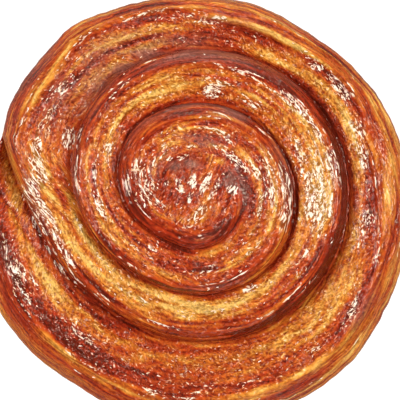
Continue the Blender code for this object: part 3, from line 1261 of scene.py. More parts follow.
    def rim_shift(self, plan: CoilPlan, angle: Array, radius: Array) -> Array:
        """How far the rim is ruffled inwards, which fades out towards the strand's back.

        Args:
            plan: where the strand runs.
            angle: along the strand, in degrees.
            radius: how far each place is from the pole.

        Returns:
            How far each place moves towards the pole.
        """
        right, up = heading(angle)
        x, y = right + self.ruffle_offset, up + self.ruffle_offset
        slow = Grain(Seed.SLOW_RUFFLE)(self.ruffle_waves * x, self.ruffle_waves * y)
        quick = Grain(Seed.QUICK_RUFFLE)(self.quick_ruffle_waves * x, self.quick_ruffle_waves * y)
        start = self.ruffle_start
        near_rim = smooth((radius / plan.rim_radius(angle) - start) / (1.0 - start))
        return self.ruffle * near_rim * (1.0 + self.slow_ruffle * slow + self.quick_ruffle * quick)


class Slot(Enum):
    """The attributes that carry a piece's pattern from its mesh to its finish."""

    STRAND = "strand"
    TOAST = "toast"
    BUBBLY = "bubbly"
    GLOSS_AND_PAINTED_GLINTS = "shiny"
    PAINTED_SHEEN = "mauve"
    DOMED = "domed"


class Wiring:
    """Adds nodes to one tree and joins them."""

    def __init__(self, tree: bpy.types.NodeTree) -> None:
        """Starts on a tree."""
        self.tree = tree

    def add(self, kind: str, inputs: dict | None = None, **settings: object) -> bpy.types.Node:
        """Adds a node.

        Args:
            kind: Blender's name of the node's type, without ShaderNode.
            inputs: what goes into its sockets by name or number: a value, or another socket.
            settings: the node's own properties.

        Returns:
            The node.
        """
        node = self.tree.nodes.new(f"ShaderNode{kind}")
        for name, value in settings.items():
            setattr(node, name, value)
        self.fill(node, inputs or {})
        return node

    def fill(self, node: bpy.types.Node, inputs: dict) -> None:
        """Puts values or sockets into a node.

        Args:
            node: the node.
            inputs: what goes into its sockets by name or number: a value, or another socket.
        """
        for name, value in inputs.items():
            if isinstance(value, Socket):
                self.tree.links.new(value, node.inputs[name])
            else:
                node.inputs[name].default_value = value

    def math(self, operation: str, *values: object, clamp: bool = False) -> bpy.types.NodeSocket:
        """A Math node's result for up to three values or sockets."""
        node = self.add("Math", dict(enumerate(values)), operation=operation, use_clamp=clamp)
        return node.outputs[0]

    def centred(self, value: bpy.types.NodeSocket, gain: object, base: object) -> bpy.types.NodeSocket:
        """A base value, plus a gain times a noise that swings about one half."""
        return self.math("MULTIPLY_ADD", self.math("SUBTRACT", value, 0.5), gain, base)

    def vector(self, x: object, y: object, z: object) -> bpy.types.NodeSocket:
        """A vector made from three values or sockets."""
        return self.add("CombineXYZ", {0: x, 1: y, 2: z}).outputs[0]

    def noise(self, place: object, detail: float, roughness: float = 0.5) -> bpy.types.NodeSocket:
        """Noise from 0 to 1 at a place that is measured in its own grains."""
        sockets = {"Vector": place, "Scale": 1.0, "Detail": detail, "Roughness": roughness}
        return self.add("TexNoise", sockets).outputs[0]

    def mix(self, share: object, colour: bpy.types.NodeSocket, other: Colour) -> bpy.types.NodeSocket:
        """A colour mixed with another by a share from 0 to 1."""
        node = self.add("Mix", {0: share, 6: colour, 7: (*other, 1.0)}, data_type="RGBA")
        return node.outputs[2]

    def read(self, slot: Slot) -> bpy.types.Node:
        """An Attribute node that reads one of the mesh's patterns."""
        return self.add("Attribute", attribute_name=slot.value)

    def ramp(self, value: object, stops: Ramp) -> bpy.types.NodeSocket:
        """A colour ramp.

        Args:
            value: what picks the place on the ramp.
            stops: each stop's place and colour.

        Returns:
            The colour.
        """
        node = self.add("ValToRGB", {0: value})
        for number, (place, colour) in enumerate(stops):
            if number < 2:
                stop = node.color_ramp.elements[number]
                stop.position = place
            else:
                stop = node.color_ramp.elements.new(place)
            stop.color = (*colour, 1.0)
        return node.outputs[0]


class Effect:
    """A shader node group that several finishes share."""

    def __init__(self, name: str, inputs: dict[str, object], outputs: tuple[str, ...]) -> None:
        """Makes the group and its sockets.

        Args:
            name: the group's name.
            inputs: each input's usual value: a number, or three for a vector.
            outputs: the names of the values that it puts out.
        """
        self.tree = bpy.data.node_groups.new(name, "ShaderNodeTree")
        for label, usual in inputs.items():
            kind = "NodeSocketVector" if isinstance(usual, tuple) else "NodeSocketFloat"
            socket = self.tree.interface.new_socket(label, in_out="INPUT", socket_type=kind)
            socket.default_value = usual
        for label in outputs:
            self.tree.interface.new_socket(label, in_out="OUTPUT", socket_type="NodeSocketFloat")
        self.wiring = Wiring(self.tree)
        self.entry = self.tree.nodes.new("NodeGroupInput").outputs
        self.exit = self.tree.nodes.new("NodeGroupOutput").inputs

    def put(self, label: str, value: bpy.types.NodeSocket) -> None:
        """Sends a value to one of the group's outputs."""
        self.tree.links.new(value, self.exit[label])

    def use(self, wiring: Wiring, **inputs: object) -> bpy.types.NodeOutputs:
        """Places the group in a material.

        Args:
            wiring: the material's wiring.
            inputs: values or sockets for the group's inputs, by name.

        Returns:
            The group's outputs.
        """
        return wiring.add("Group", inputs, node_tree=self.tree).outputs


@dataclass(frozen=True)
class StrandStrokes:
    """Strokes that run along the strand, as the layers of the dough and the glaze on them do."""

    length: float = 6.0
    width: float = 1.0
    slow_along: float = 0.6
    slow_across: float = 0.2
    slow_detail: float = 1.0
    wander: float = 5.0
    detail: float = 1.5
    fineness: float = 0.55
    stroke: tuple[float, float] = (2.6, -0.8)
    painted_glint_cut: tuple[float, float] = (9.0, -5.3)

    def build(self) -> Effect:
        """Makes the effect.

        Returns:
            The effect, which puts out soft strokes and the flecks on the strongest of them.
        """
        size = {"Length": self.length, "Width": self.width}
        usual = {"Strand": (0.0, 0.0, 0.0), **size, "Slant": 0.0, "Draw": 0.0}
        group = Effect("strand_strokes", usual, ("Stroke", "PaintedGlint"))
        w = group.wiring
        strand = w.add("SeparateXYZ", {0: group.entry["Strand"]}).outputs
        slanted = w.math("MULTIPLY_ADD", strand[1], group.entry["Slant"], strand[0])
        along = w.math("DIVIDE", slanted, group.entry["Length"])
        across = w.math("DIVIDE", strand[1], group.entry["Width"])
        draw = group.entry["Draw"]
        slow_x = w.math("MULTIPLY", along, self.slow_along)
        slow_y = w.math("MULTIPLY", across, self.slow_across)
        slow = w.noise(w.vector(slow_x, slow_y, draw), self.slow_detail)
        across = w.centred(slow, self.wander, across)
        value = w.noise(w.vector(along, across, draw), self.detail, self.fineness)
        group.put("Stroke", w.math("MULTIPLY_ADD", value, *self.stroke, clamp=True))
        group.put("PaintedGlint", w.math("MULTIPLY_ADD", value, *self.painted_glint_cut, clamp=True))
        return group


@dataclass(frozen=True)
class CrustBubbles:
    """The small bubbles, wrinkles and pores of a baked, glazed surface."""

    size: float = 0.9
    ruffle_scale: float = 0.8
    ruffle_detail: float = 1.0
    height_detail: float = 0.6
    height_fineness: float = 0.45
    cell_scale: float = 1.3
    cell_steepness: float = 1.3
    cell_roundness: float = 0.7
    spot_detail: float = 1.5
    spot_fineness: float = 0.6

    def build(self) -> Effect:
        """Makes the effect.

        Returns:
            The effect, which puts out a height, round bubbles and soft spots.
        """
        usual = {"Place": (0.0, 0.0, 0.0), "Size": self.size, "Draw": 0.0}
        group = Effect("crust_bubbles", usual, ("Height", "Bubbles", "Spots"))
        w = group.wiring
        finer = w.math("DIVIDE", 1.0 / MM, group.entry["Size"])
        size = w.add("VectorMath", {0: group.entry["Place"], 3: finer}, operation="SCALE")
        shift = w.vector(group.entry["Draw"], 0.0, 0.0)
        moved = w.add("VectorMath", {0: size.outputs[0], 1: shift}, operation="ADD").outputs[0]
        ruffle = {"Vector": moved, "Scale": self.ruffle_scale, "Detail": self.ruffle_detail}
        ruffled = w.add("TexNoise", ruffle).outputs[1]
        bent = w.add("VectorMath", {0: moved, 1: ruffled}, operation="ADD").outputs[0]
        group.put("Height", w.noise(bent, self.height_detail, self.height_fineness))
        cells = w.add("TexVoronoi", {"Vector": bent, "Scale": self.cell_scale}, feature="F1")
        away = w.math("MULTIPLY", cells.outputs["Distance"], self.cell_steepness)
        dome = w.math("SUBTRACT", 1.0, away, clamp=True)
        group.put("Bubbles", w.math("POWER", dome, self.cell_roundness))
        group.put("Spots", w.noise(moved, self.spot_detail, self.spot_fineness))
        return group


def new_material(name: str) -> tuple[bpy.types.Material, Wiring, bpy.types.Node]:
    """Starts a material.

    Args:
        name: the material's name.

    Returns:
        The material, the wiring of its nodes, and its shader.
    """
    material = bpy.data.materials.new(name)
    material.use_nodes = True
    return material, Wiring(material.node_tree), material.node_tree.nodes["Principled BSDF"]


@dataclass(frozen=True)
class StrokeSize:
    """One kind of stroke along the strand: its size in millimetres, its slant and its draw."""

    length: float
    width: float
    draw: float = 0.0
    slant: float = 0.0

    def use(self, strokes: Effect, w: Wiring, strand: bpy.types.NodeSocket) -> bpy.types.NodeOutputs:
        """Draws these strokes in a material."""
        size = {"Length": self.length, "Width": self.width, "Slant": self.slant}
        return strokes.use(w, Strand=strand, Draw=self.draw, **size)


@dataclass(frozen=True)
class CrustFinish:
    """Baked layered dough under a sugar glaze, from dark caramel to pale gold, with painted glints and
    painted sheen in its colour.
    """

    browns: Ramp = (
        (0.0, (0.120, 0.008, 0.002)),
        (0.2, (0.260, 0.018, 0.004)),
        (0.4, (0.370, 0.047, 0.007)),
        (0.58, (0.455, 0.106, 0.011)),
        (0.76, (0.550, 0.210, 0.029)),
        (1.0, (0.680, 0.385, 0.092)),
    )
    # The cream of the painted glints.
    painted_glint_colour: Colour = (1.0, 0.86, 0.72)
    dim_browning: float = 0.3
    # The grey-mauve of the painted sheen.
    painted_sheen_colour: Colour = (0.200, 0.085, 0.065)
    painted_sheen_share: float = 0.8
    grain_size: float = 0.8
    broad_contrast: float = 0.34
    thin_contrast: float = 0.25
    middle_contrast: float = 0.22
    spot_contrast: float = 0.45
    dot_browning: float = 0.15
    fine_contrast: float = 0.86
    dot_contrast: float = 1.1
    grain_contrast: float = 0.65
    broad: StrokeSize = StrokeSize(18.0, 2.8)
    thin: StrokeSize = StrokeSize(16.0, 0.8, 20.0)
    middle: StrokeSize = StrokeSize(4.5, 1.2, 5.0)
    fine: StrokeSize = StrokeSize(2.4, 0.65, 9.0)
    dots: StrokeSize = StrokeSize(0.9, 0.6, 14.0, 0.5)
    large_size: float = 1.7
    large_draw: float = 30.0
    ragged_edge: float = 0.6
    glint_pool_reach: float = 1.7
    glint_pool_start: float = -1.3
    glint_pool_edge: float = 3.5
    drop_start: float = -1.0
    drop_edge: float = 3.0
    cluster: tuple[float, float] = (5.0, -2.6)
    painted_glint_lift: float = 0.8
    speckles: tuple[float, float] = (0.42, 0.33)
    glint_pool_shade: float = -0.4
    darkest: float = 0.6
    middle_height: float = 0.22
    fine_height: float = 0.14
    large_height: float = 0.6
    grain_height: float = 0.3
    skin_height: float = 0.06
    dome_heading: float = 1.19
    roughness: float = 0.14
    roughness_swing: float = 0.16
    polish: float = -0.03
    dullness: float = 0.22
    shiny_coat: float = 0.3
    bubbly_coat: float = 0.1
    coat_roughness: float = 0.1
    specular: float = 0.35
    specular_tint: Colour = (1.0, 0.84, 0.66)
    bump: float = 1.0 * MM

    def build(self, strokes: Effect, bubbles: Effect) -> bpy.types.Material:
        """Makes the material.

        Args:
            strokes: the effect that draws strokes along the strand.
            bubbles: the effect that draws bubbles and pores.

        Returns:
            The material.
        """
        material, w, shader = new_material("glazed_crust")
        strand = w.read(Slot.STRAND).outputs["Vector"]
        bubbly = w.read(Slot.BUBBLY).outputs["Fac"]
        shiny = w.read(Slot.GLOSS_AND_PAINTED_GLINTS).outputs["Fac"]
        mauve = w.read(Slot.PAINTED_SHEEN).outputs["Fac"]
        toast = w.read(Slot.TOAST).outputs["Fac"]
        place = w.add("TexCoord").outputs["Object"]
        grain = bubbles.use(w, Place=place, Size=self.grain_size)
        large = bubbles.use(w, Place=place, Size=self.large_size, Draw=self.large_draw)
        ragged = w.centred(large["Spots"], self.ragged_edge, w.read(Slot.DOMED).outputs["Fac"])
        turned = {"Vector": place, "Rotation": (0.0, 0.0, -self.dome_heading), "Scale": (1.0 / MM,) * 3}
        over_dome = w.add("Mapping", turned).outputs[0]
        sides = {0: w.math("GREATER_THAN", ragged, 0.5), 4: strand, 5: over_dome}
        strand = w.add("Mix", sides, data_type="VECTOR").outputs[1]
        sizes = (self.broad, self.thin, self.middle, self.fine, self.dots)
        broad, thin, middle, fine, dots = (size.use(strokes, w, strand) for size in sizes)
        skin = w.math("SUBTRACT", 1.0, bubbly)
        toast = w.centred(broad["Stroke"], self.broad_contrast, toast)
        toast = w.centred(thin["Stroke"], w.math("MULTIPLY", skin, self.thin_contrast), toast)
        toast = w.centred(middle["Stroke"], self.middle_contrast, toast)
        toast = w.centred(large["Spots"], w.math("MULTIPLY", bubbly, self.spot_contrast), toast)
        toast = w.centred(dots["Stroke"], w.math("MULTIPLY", bubbly, self.dot_browning), toast)
        # Painted glints: pools along the strand where the crust is marked glossy, broken into cream glint
        # marks.
        glint_pool = w.math("ADD", middle["Stroke"], self.glint_pool_start)
        glint_pool = w.math("MULTIPLY_ADD", shiny, self.glint_pool_reach, glint_pool)
        glint_pool = w.math("MULTIPLY", glint_pool, self.glint_pool_edge, clamp=True)
        broken = w.math("SUBTRACT", dots["Stroke"], thin["Stroke"])
        drops = w.math("MULTIPLY_ADD", broken, bubbly, thin["Stroke"])
        drops = w.math("ADD", w.math("ADD", drops, fine["Stroke"]), self.drop_start)
        drops = w.math("MULTIPLY", drops, self.drop_edge, clamp=True)
        # More painted glints, in clusters over the bubbly places.
        cluster = w.math("MULTIPLY_ADD", large["Spots"], *self.cluster, clamp=True)
        bubbly_painted_glints = w.math("MULTIPLY", dots["PaintedGlint"], w.math("MULTIPLY", bubbly, cluster))
        painted_glints = w.math("MAXIMUM", bubbly_painted_glints, w.math("MULTIPLY", drops, glint_pool))
        toast = w.math("MULTIPLY_ADD", painted_glints, self.painted_glint_lift, toast)
        speckled = w.math("MULTIPLY_ADD", bubbly, *self.speckles)
        shorter = w.math("SUBTRACT", fine["Stroke"], thin["Stroke"])
        lines = w.math("MULTIPLY_ADD", shorter, speckled, thin["Stroke"])
        shade = w.centred(lines, self.fine_contrast, 1.0)
        shade = w.centred(dots["Stroke"], w.math("MULTIPLY", speckled, self.dot_contrast), shade)
        shade = w.centred(grain["Spots"], self.grain_contrast, shade)
        # Darker between the painted glints inside their pools.
        shade = w.math("MULTIPLY_ADD", glint_pool, self.glint_pool_shade, shade)
        shade = w.math("MAXIMUM", shade, self.darkest)
        dimmed = w.math("MINIMUM", w.math("SUBTRACT", shade, 1.0), 0.0)
        toast = w.math("MULTIPLY_ADD", dimmed, self.dim_browning, toast)
        # Painted sheen: the colour is mixed towards grey-mauve where a reflection of the room is painted.
        sheen_amount = w.math("MULTIPLY", mauve, self.painted_sheen_share)
        colour = w.mix(sheen_amount, w.ramp(toast, self.browns), self.painted_sheen_colour)
        colour = w.add("VectorMath", {0: colour, 3: shade}, operation="SCALE").outputs[0]
        # Paints the glints into the colour in cream.
        colour = w.mix(painted_glints, colour, self.painted_glint_colour)
        height = w.math("MULTIPLY", fine["Stroke"], self.fine_height)
        height = w.math("MULTIPLY_ADD", middle["Stroke"], self.middle_height, height)
        rough_skin = w.math("MULTIPLY", grain["Height"], self.grain_height)
        rough_skin = w.math("MULTIPLY_ADD", large["Height"], self.large_height, rough_skin)
        height = w.math("MULTIPLY_ADD", rough_skin, bubbly, height)
        height = w.math("MULTIPLY_ADD", grain["Height"], self.skin_height, height)
        bump = w.add("Bump", {"Strength": 1.0, "Distance": self.bump, "Height": height})
        rough = w.math("MULTIPLY_ADD", mauve, self.dullness, self.roughness)
        rough = w.math("MULTIPLY_ADD", shiny, self.polish, rough)
        coat = w.math("MULTIPLY", bubbly, self.bubbly_coat)
        surface = {
            "Base Color": colour,
            "Roughness": w.centred(grain["Spots"], self.roughness_swing, rough),
            "Normal": bump.outputs[0],
            "Coat Weight": w.math("MULTIPLY_ADD", shiny, self.shiny_coat, coat, clamp=True),
            "Specular IOR Level": self.specular,
            "Specular Tint": (*self.specular_tint, 1.0),
            "Coat Roughness": self.coat_roughness,
        }
        w.fill(shader, surface)
        return material


@dataclass(frozen=True)
class PoreFinish:
    """A finish whose colour, roughness and height follow soft clouds and the pores in them."""

    name: str
    colours: Ramp
    cloud_size: float
    cloud_draw: float
    pore_size: float
    pore_draw: float
    pore_contrast: float
    raised: str
    bump_strength: float
    bump: float
    roughness: float
    roughness_swing: float
    coat: float

    def build(self, bubbles: Effect) -> bpy.types.Material:
        """Makes the material.

        Args:
            bubbles: the effect that draws bubbles and pores.

        Returns:
            The material.
        """
        material, w, shader = new_material(self.name)
        place = w.add("TexCoord").outputs["Object"]
        clouds = bubbles.use(w, Place=place, Size=self.cloud_size, Draw=self.cloud_draw)
        pores = bubbles.use(w, Place=place, Size=self.pore_size, Draw=self.pore_draw)
        tone = w.centred(pores["Spots"], self.pore_contrast, clouds["Spots"])
        raised = {"Strength": self.bump_strength, "Distance": self.bump, "Height": pores[self.raised]}
        surface = {
            "Base Color": w.ramp(tone, self.colours),
            "Roughness": w.centred(pores["Spots"], self.roughness_swing, self.roughness),
            "Normal": w.add("Bump", raised).outputs[0],
            "Coat Weight": self.coat,
        }
        w.fill(shader, surface)
        return material


@dataclass(frozen=True)
class BaseFinish(PoreFinish):
    """The flat underside, baked dull and brown on the tray."""

    name: str = "baked_base"
    colours: Ramp = (
        (0.25, (0.22, 0.06, 0.018)),
        (0.5, (0.42, 0.16, 0.045)),
        (0.8, (0.62, 0.32, 0.12)),
    )
    cloud_size: float = 9.0
    cloud_draw: float = 0.0
    pore_size: float = 1.6
    pore_draw: float = 12.0
    pore_contrast: float = 0.6
    raised: str = "Bubbles"
    bump_strength: float = 0.7
    bump: float = 0.5 * MM
    roughness: float = 0.55
    roughness_swing: float = 0.3
    coat: float = 0.0


@dataclass(frozen=True)
class GlazeFinish(PoreFinish):
    """Set sugar glaze, from amber to cream, whose cream partly stands in for painted highlights."""

    name: str = "set_glaze"
    colours: Ramp = (
        (0.3, (0.64, 0.32, 0.15)),
        (0.5, (0.88, 0.62, 0.42)),
        (0.7, (1.0, 0.86, 0.72)),
    )
    cloud_size: float = 1.2
    cloud_draw: float = 50.0
    pore_size: float = 0.3
    pore_draw: float = 60.0
    pore_contrast: float = 0.0
    raised: str = "Height"
    bump_strength: float = 0.4
    bump: float = 0.1 * MM
    roughness: float = 0.16
    roughness_swing: float = 0.2
    coat: float = 0.6


@dataclass(frozen=True)
class Lamp:
    """A soft rectangular light: where it hangs, its width and height, and its watts."""

    name: str
    place: tuple[float, float, float]
    size: tuple[float, float]
    power: float

    def build(self, aim: Vector) -> None:
        """Hangs the light.

        Args:
            aim: the point that it faces.
        """
        light = bpy.data.lights.new(self.name, "AREA")
        light.shape = "RECTANGLE"
        light.size, light.size_y = self.size
        light.energy = self.power
        lamp = bpy.data.objects.new(self.name, light)
        lamp.location = self.place
        lamp.rotation_euler = (aim - Vector(self.place)).to_track_quat("-Z", "Y").to_euler()
        bpy.context.scene.collection.objects.link(lamp)


@dataclass(frozen=True)
class Studio:
    """A white table, a pale room and soft lights."""

    lamps: tuple[Lamp, ...] = (
        Lamp("left_window", (-0.55, 0.05, 0.62), (0.3, 0.3), 5.5),
        Lamp("right_window", (0.55, 0.08, 0.62), (0.3, 0.3), 5.2),
        Lamp("far_window", (0.05, 0.85, 0.26), (0.8, 0.3), 3.2),
        Lamp("near_window", (0.15, -0.85, 0.16), (0.8, 0.2), 1.9),
    )
    aim: tuple[float, float, float] = (0.0, 0.0, 15.0 * MM)
    floor_size: float = 3.0
    floor_colour: Colour = (0.22, 0.20, 0.18)
    floor_roughness: float = 0.8
    room_colour: Colour = (1.0, 0.85, 0.70)
    room_strength: float = 0.26
    floor_glow: float = 0.9
    floor_bounce: float = 0.8

    def build(self) -> None:
        """Makes the floor, the lights and the room."""
        self._floor()
        self._room()
        for lamp in self.lamps:
            lamp.build(Vector(self.aim))

    def _floor(self) -> None:
        """A flat white table that isn't part of the object."""
        bpy.ops.mesh.primitive_plane_add(size=self.floor_size)
        floor = bpy.context.active_object
        floor.name = "table"
        material, w, shader = new_material("white_table")
        path = w.add("LightPath").outputs
        glow = w.math("MULTIPLY", path["Is Camera Ray"], self.floor_glow)
        surface = {
            "Base Color": (*self.floor_colour, 1.0),
            "Roughness": self.floor_roughness,
            "Emission Color": (1.0, 1.0, 1.0, 1.0),
            "Emission Strength": w.math("MULTIPLY_ADD", path["Is Diffuse Ray"], self.floor_bounce, glow),
        }
        w.fill(shader, surface)
        material.cycles.emission_sampling = "NONE"
        floor.data.materials.append(material)

    def _room(self) -> None:
        """An even pale light from all round."""
        world = bpy.data.worlds.new("pale_room")
        world.use_nodes = True
        background = world.node_tree.nodes["Background"]
        background.inputs["Color"].default_value = (*self.room_colour, 1.0)
        background.inputs["Strength"].default_value = self.room_strength
        bpy.context.scene.world = world


@dataclass(frozen=True)
class PhotoCamera:
    """Looks straight down, framed as in the photograph: the pastry is cut by two sides."""

    height: float = 0.75
    aim: tuple[float, float] = (1.52 * MM, 2.66 * MM)
    field: float = 101.84 * MM
    field_height: float = 7.5 * MM
    sensor: float = 36.0
    nearest: float = 0.01

    def build(self) -> None:
        """Hangs the camera and makes it the scene's own."""
        camera = bpy.data.cameras.new("photo_camera")
        camera.sensor_width = self.sensor
        camera.lens = self.sensor * (self.height - self.field_height) / self.field
        camera.clip_start = self.nearest
        holder = bpy.data.objects.new("photo_camera", camera)
        holder.location = (*self.aim, self.height)
        bpy.context.scene.collection.objects.link(holder)
        bpy.context.scene.camera = holder


@dataclass(frozen=True)
class Sheet:
    """A grid of places with the patterns that its finish reads."""

    places: Array
    strand: Array
    masks: dict[Slot, Array]

    def joined(self, other: Sheet) -> Sheet:
        """This sheet and another as rows in one long list.

        Args:
            other: the sheet that comes second.

        Returns:
            Both sheets' places and patterns.
        """
        places = np.vstack((self.places.reshape(-1, 3), other.places.reshape(-1, 3)))
        strand = np.vstack((self.strand.reshape(-1, 3), other.strand.reshape(-1, 3)))
        masks = {
            slot: np.concatenate((mask.ravel(), other.masks[slot].ravel()))
            for slot, mask in self.masks.items()
        }
        return Sheet(places, strand, masks)


def new_piece(name: str, places: Array, faces: list) -> bpy.types.Object:
    """Makes a smooth mesh object in the scene.

    Args:
        name: the piece's name.
        places: its vertices.
        faces: the vertices of each face.

    Returns:
        The new object.
    """
    mesh = bpy.data.meshes.new(name)
    mesh.from_pydata(places.tolist(), [], faces)
    mesh.update()
    mesh.shade_smooth()
    piece = bpy.data.objects.new(name, mesh)
    bpy.context.scene.collection.objects.link(piece)
    LOG.info("%s: %d vertices, %d faces", name, len(mesh.vertices), len(mesh.polygons))
    return piece


@dataclass(frozen=True)
class Crust:
    """The whole pastry's outside: the strand's top, the wall under the rim and the base."""

    plan: CoilPlan = field(default_factory=CoilPlan)
    knot: Knot = field(default_factory=Knot)
    folds: Folds = field(default_factory=Folds)
    browning: Browning = field(default_factory=Browning)
    relief: Relief = field(default_factory=Relief)
    steps_per_turn: int = 520
    steps_across: int = 40
    wall_rows: int = 14
    lump_relief: float = 1.0 * MM
    lump_size: float = 13.0 * MM
    notch_depth: float = 0.3 * MM
    notch_width: float = 0.6 * MM
    notch_power: float = 1.3
    notch_run_out: float = 50.0
    wall_layers: float = 5.0
    wall_relief: float = 0.35 * MM
    wall_warp: float = 0.5
    wall_warp_span: float = 9.0
    wall_warp_rows: float = 2.0
    wall_toast: float = 0.5
    rim_paleness: float = 0.1
    foot_browning: float = 0.3
    ledge_start: float = 0.8
    ledge_browning: float = 0.25
    wall_bubbly: float = 0.4

    def build(self, finishes: tuple[bpy.types.Material, ...]) -> tuple[bpy.types.Object, Sheet]:
        """Winds the crust and gives it its finishes.

        Args:
            finishes: the materials of the crust and of the base.

        Returns:
            The crust, which stands for the frame's node, and its top, in place.
        """
        grid = StrandGrid.wind(self.plan, self.steps_per_turn, self.steps_across)
        top = self._top(grid)
        wall = self._wall(grid, top)
        shift, shrink = self._fit(np.vstack((top.places.reshape(-1, 3), wall.places.reshape(-1, 3))))
        top = replace(top, places=top.places * shrink + shift)
        wall = replace(wall, places=wall.places * shrink + shift)
        crust = self._mesh(*self._welded(top, wall))
        for finish in finishes:
            crust.data.materials.append(finish)
        return crust, top

    def _top(self, grid: StrandGrid) -> Sheet:
        """The strand's top from the rim to the knot, with its relief and its patterns.

        Args:
            grid: the strand's places.

        Returns:
            The top, before it is fitted to the frame.
        """
        plan = self.plan
        eye = grid.in_the_eye()
        height = plan.section_height(grid.angle, grid.share**plan.crowding)
        height = height - self._notch(grid.angle, grid.outer - grid.radius)
        height = height - self._notch(grid.angle + TURN, grid.radius - grid.inner)
        height = self.knot.lie(height, plan.knot_height, grid.radius, eye)
        places = self._placed(grid.angle, grid.radius, height)
        x, y = places[..., 0], places[..., 1]
        seam_weights = [(seam, seam.weight(grid)) for seam in self.folds.all_seams()]
        bubbly = self.browning.bubbly(grid, self.folds)
        relief = self.relief.height(grid, self.folds, bubbly, seam_weights)
        relief = relief + eye * (self.knot.relief(x, y) - relief)
        # Painted sheen, which also keeps the painted glint lines off its patches.
        mauve = self.browning.spread(grid, self.browning.mauve, Seed.PAINTED_SHEEN_EDGES) * (1.0 - eye)
        painted_glint_lines = self.folds.painted_glint_lines(grid, seam_weights) * np.clip(1.0 - mauve, 0.0, 1.0)
        # Gloss and painted glints: the patches and the fold's painted glint lines, which the finish turns
        # into cream marks in the colour.
        shiny = self.browning.spread(grid, self.browning.gloss_and_glint_places, Seed.GLOSS_AND_GLINT_EDGES)
        shiny = np.maximum(shiny, painted_glint_lines) * (1.0 - eye)
        toast = self.browning.toast(grid, self.folds, seam_weights)
        masks = {
            Slot.TOAST: toast + self.knot.total(self.knot.tones, x, y),
            Slot.BUBBLY: bubbly + eye * (self.knot.bubbly - bubbly),
            Slot.GLOSS_AND_PAINTED_GLINTS: np.maximum(shiny, self.knot.most(self.knot.gloss_and_glint_places, x, y)),
            Slot.PAINTED_SHEEN: np.maximum(mauve, self.knot.most(self.knot.mauve, x, y)),
            Slot.DOMED: eye,
        }
        steps = np.linalg.norm(np.diff(places, axis=1, prepend=places[:, :1]), axis=-1)
        over = np.cumsum(steps, axis=1)
        strand = np.stack((grid.along / MM, over / MM, np.zeros_like(over)), axis=-1)
        places = places + self._normals(places) * relief[..., None]
        return Sheet(places, strand, masks)

    def _placed(self, angle: Array, radius: Array, height: Array) -> Array:
        """Places with the eye shifted and the lumps raised.

        Args:
            angle: along the strand, in degrees.
            radius: how far each place is from the pole.
            height: how high it is.

        Returns:
            The places.
        """
        plan = self.plan
        radius = radius - self.relief.rim_shift(plan, angle, radius)
        right, up = heading(angle)
        pull = smooth(1.0 - radius / plan.eye_reach)
        x = plan.pole[0] + right * radius + plan.eye_shift[0] * pull
        y = plan.pole[1] + up * radius + plan.eye_shift[1] * pull
        flat = zip((x / self.lump_size).ravel(), (y / self.lump_size).ravel())
        lump = np.array([noise.noise((a, b, 0.0)) for a, b in flat]).reshape(x.shape)
        rise = np.maximum(height - plan.rim_height, 0.0) / (plan.knot_height - plan.rim_height)
        return np.stack((x, y, height + self.lump_relief * lump * rise), axis=-1)

    def _notch(self, angle: Array, away: Array) -> Array:
        """How far the groove is pressed in beside the strand's edge.

        Args:
            angle: along the groove, in degrees.
            away: how far each place is from the groove.

        Returns:
            The depth at each place.
        """
        plan = self.plan
        opens = smooth((angle - plan.tip_angle - TURN) / plan.groove_run_in)
        closes = 1.0 - smooth((angle - plan.groove_run_out[0]) / self.notch_run_out)
        pressed = window(away, 0.0, self.notch_width, self.notch_power)
        return self.notch_depth * opens * closes * pressed

    def _normals(self, places: Array) -> Array:
        """The outward normal at each place of a grid.

        Args:
            places: the grid's places.

        Returns:
            The normals, which all face up.
        """
        down_the_strand = np.gradient(places, axis=0)
        over_the_strand = np.gradient(places, axis=1)
        normals = unit(np.cross(over_the_strand, down_the_strand))
        return normals * np.sign(normals[..., 2:] + LEVEL_TILT)

    def _wall(self, grid: StrandGrid, top: Sheet) -> Sheet:
        """The wall under the rim, from the rim itself down to the base.

        Args:
            grid: the strand's places.
            top: the strand's top, whose rim the wall hangs from.

        Returns:
            The wall, before it is fitted to the frame.
        """
        plan = self.plan
        turn = self.steps_per_turn
        angle = grid.angle[: turn + 1, 0]
        down = np.linspace(0.0, 1.0, self.wall_rows + 1)[:, None]
        rim = plan.rim_radius(angle)[None, :] * np.ones_like(down)
        warp = Grain(Seed.WALL_WARP)(angle / self.wall_warp_span, self.wall_warp_rows * down)
        ledge = (self.wall_layers * down + self.wall_warp * warp) % 1.0
        bulge = self.wall_relief * ledge * np.sin(np.pi * down)
        radius = rim - self.relief.rim_shift(plan, angle, rim) - bulge
        radius = radius - plan.base_inset * (1.0 - np.sqrt(1.0 - down**2))
        right, up = heading(angle)
        x = plan.pole[0] + right * radius
        y = plan.pole[1] + up * radius
        z = plan.rim_height * (1.0 - down) * np.ones_like(radius)
        places = np.stack((x, y, z), axis=-1)
        places[0] = top.places[: turn + 1, 0]
        along = grid.along[: turn + 1, 0] / MM * np.ones_like(radius)
        drop = plan.rim_height / MM * down * np.ones_like(radius)
        strand = np.stack((along, -drop, np.zeros_like(radius)), axis=-1)
        masks = {slot: np.zeros_like(radius) for slot in top.masks}
        toast = self.wall_toast + self.rim_paleness * (1.0 - down) - self.foot_browning * down**3
        masks[Slot.TOAST] = toast - self.ledge_browning * (ledge > self.ledge_start)
        masks[Slot.BUBBLY] = masks[Slot.BUBBLY] + self.wall_bubbly
        return Sheet(places, strand, masks)

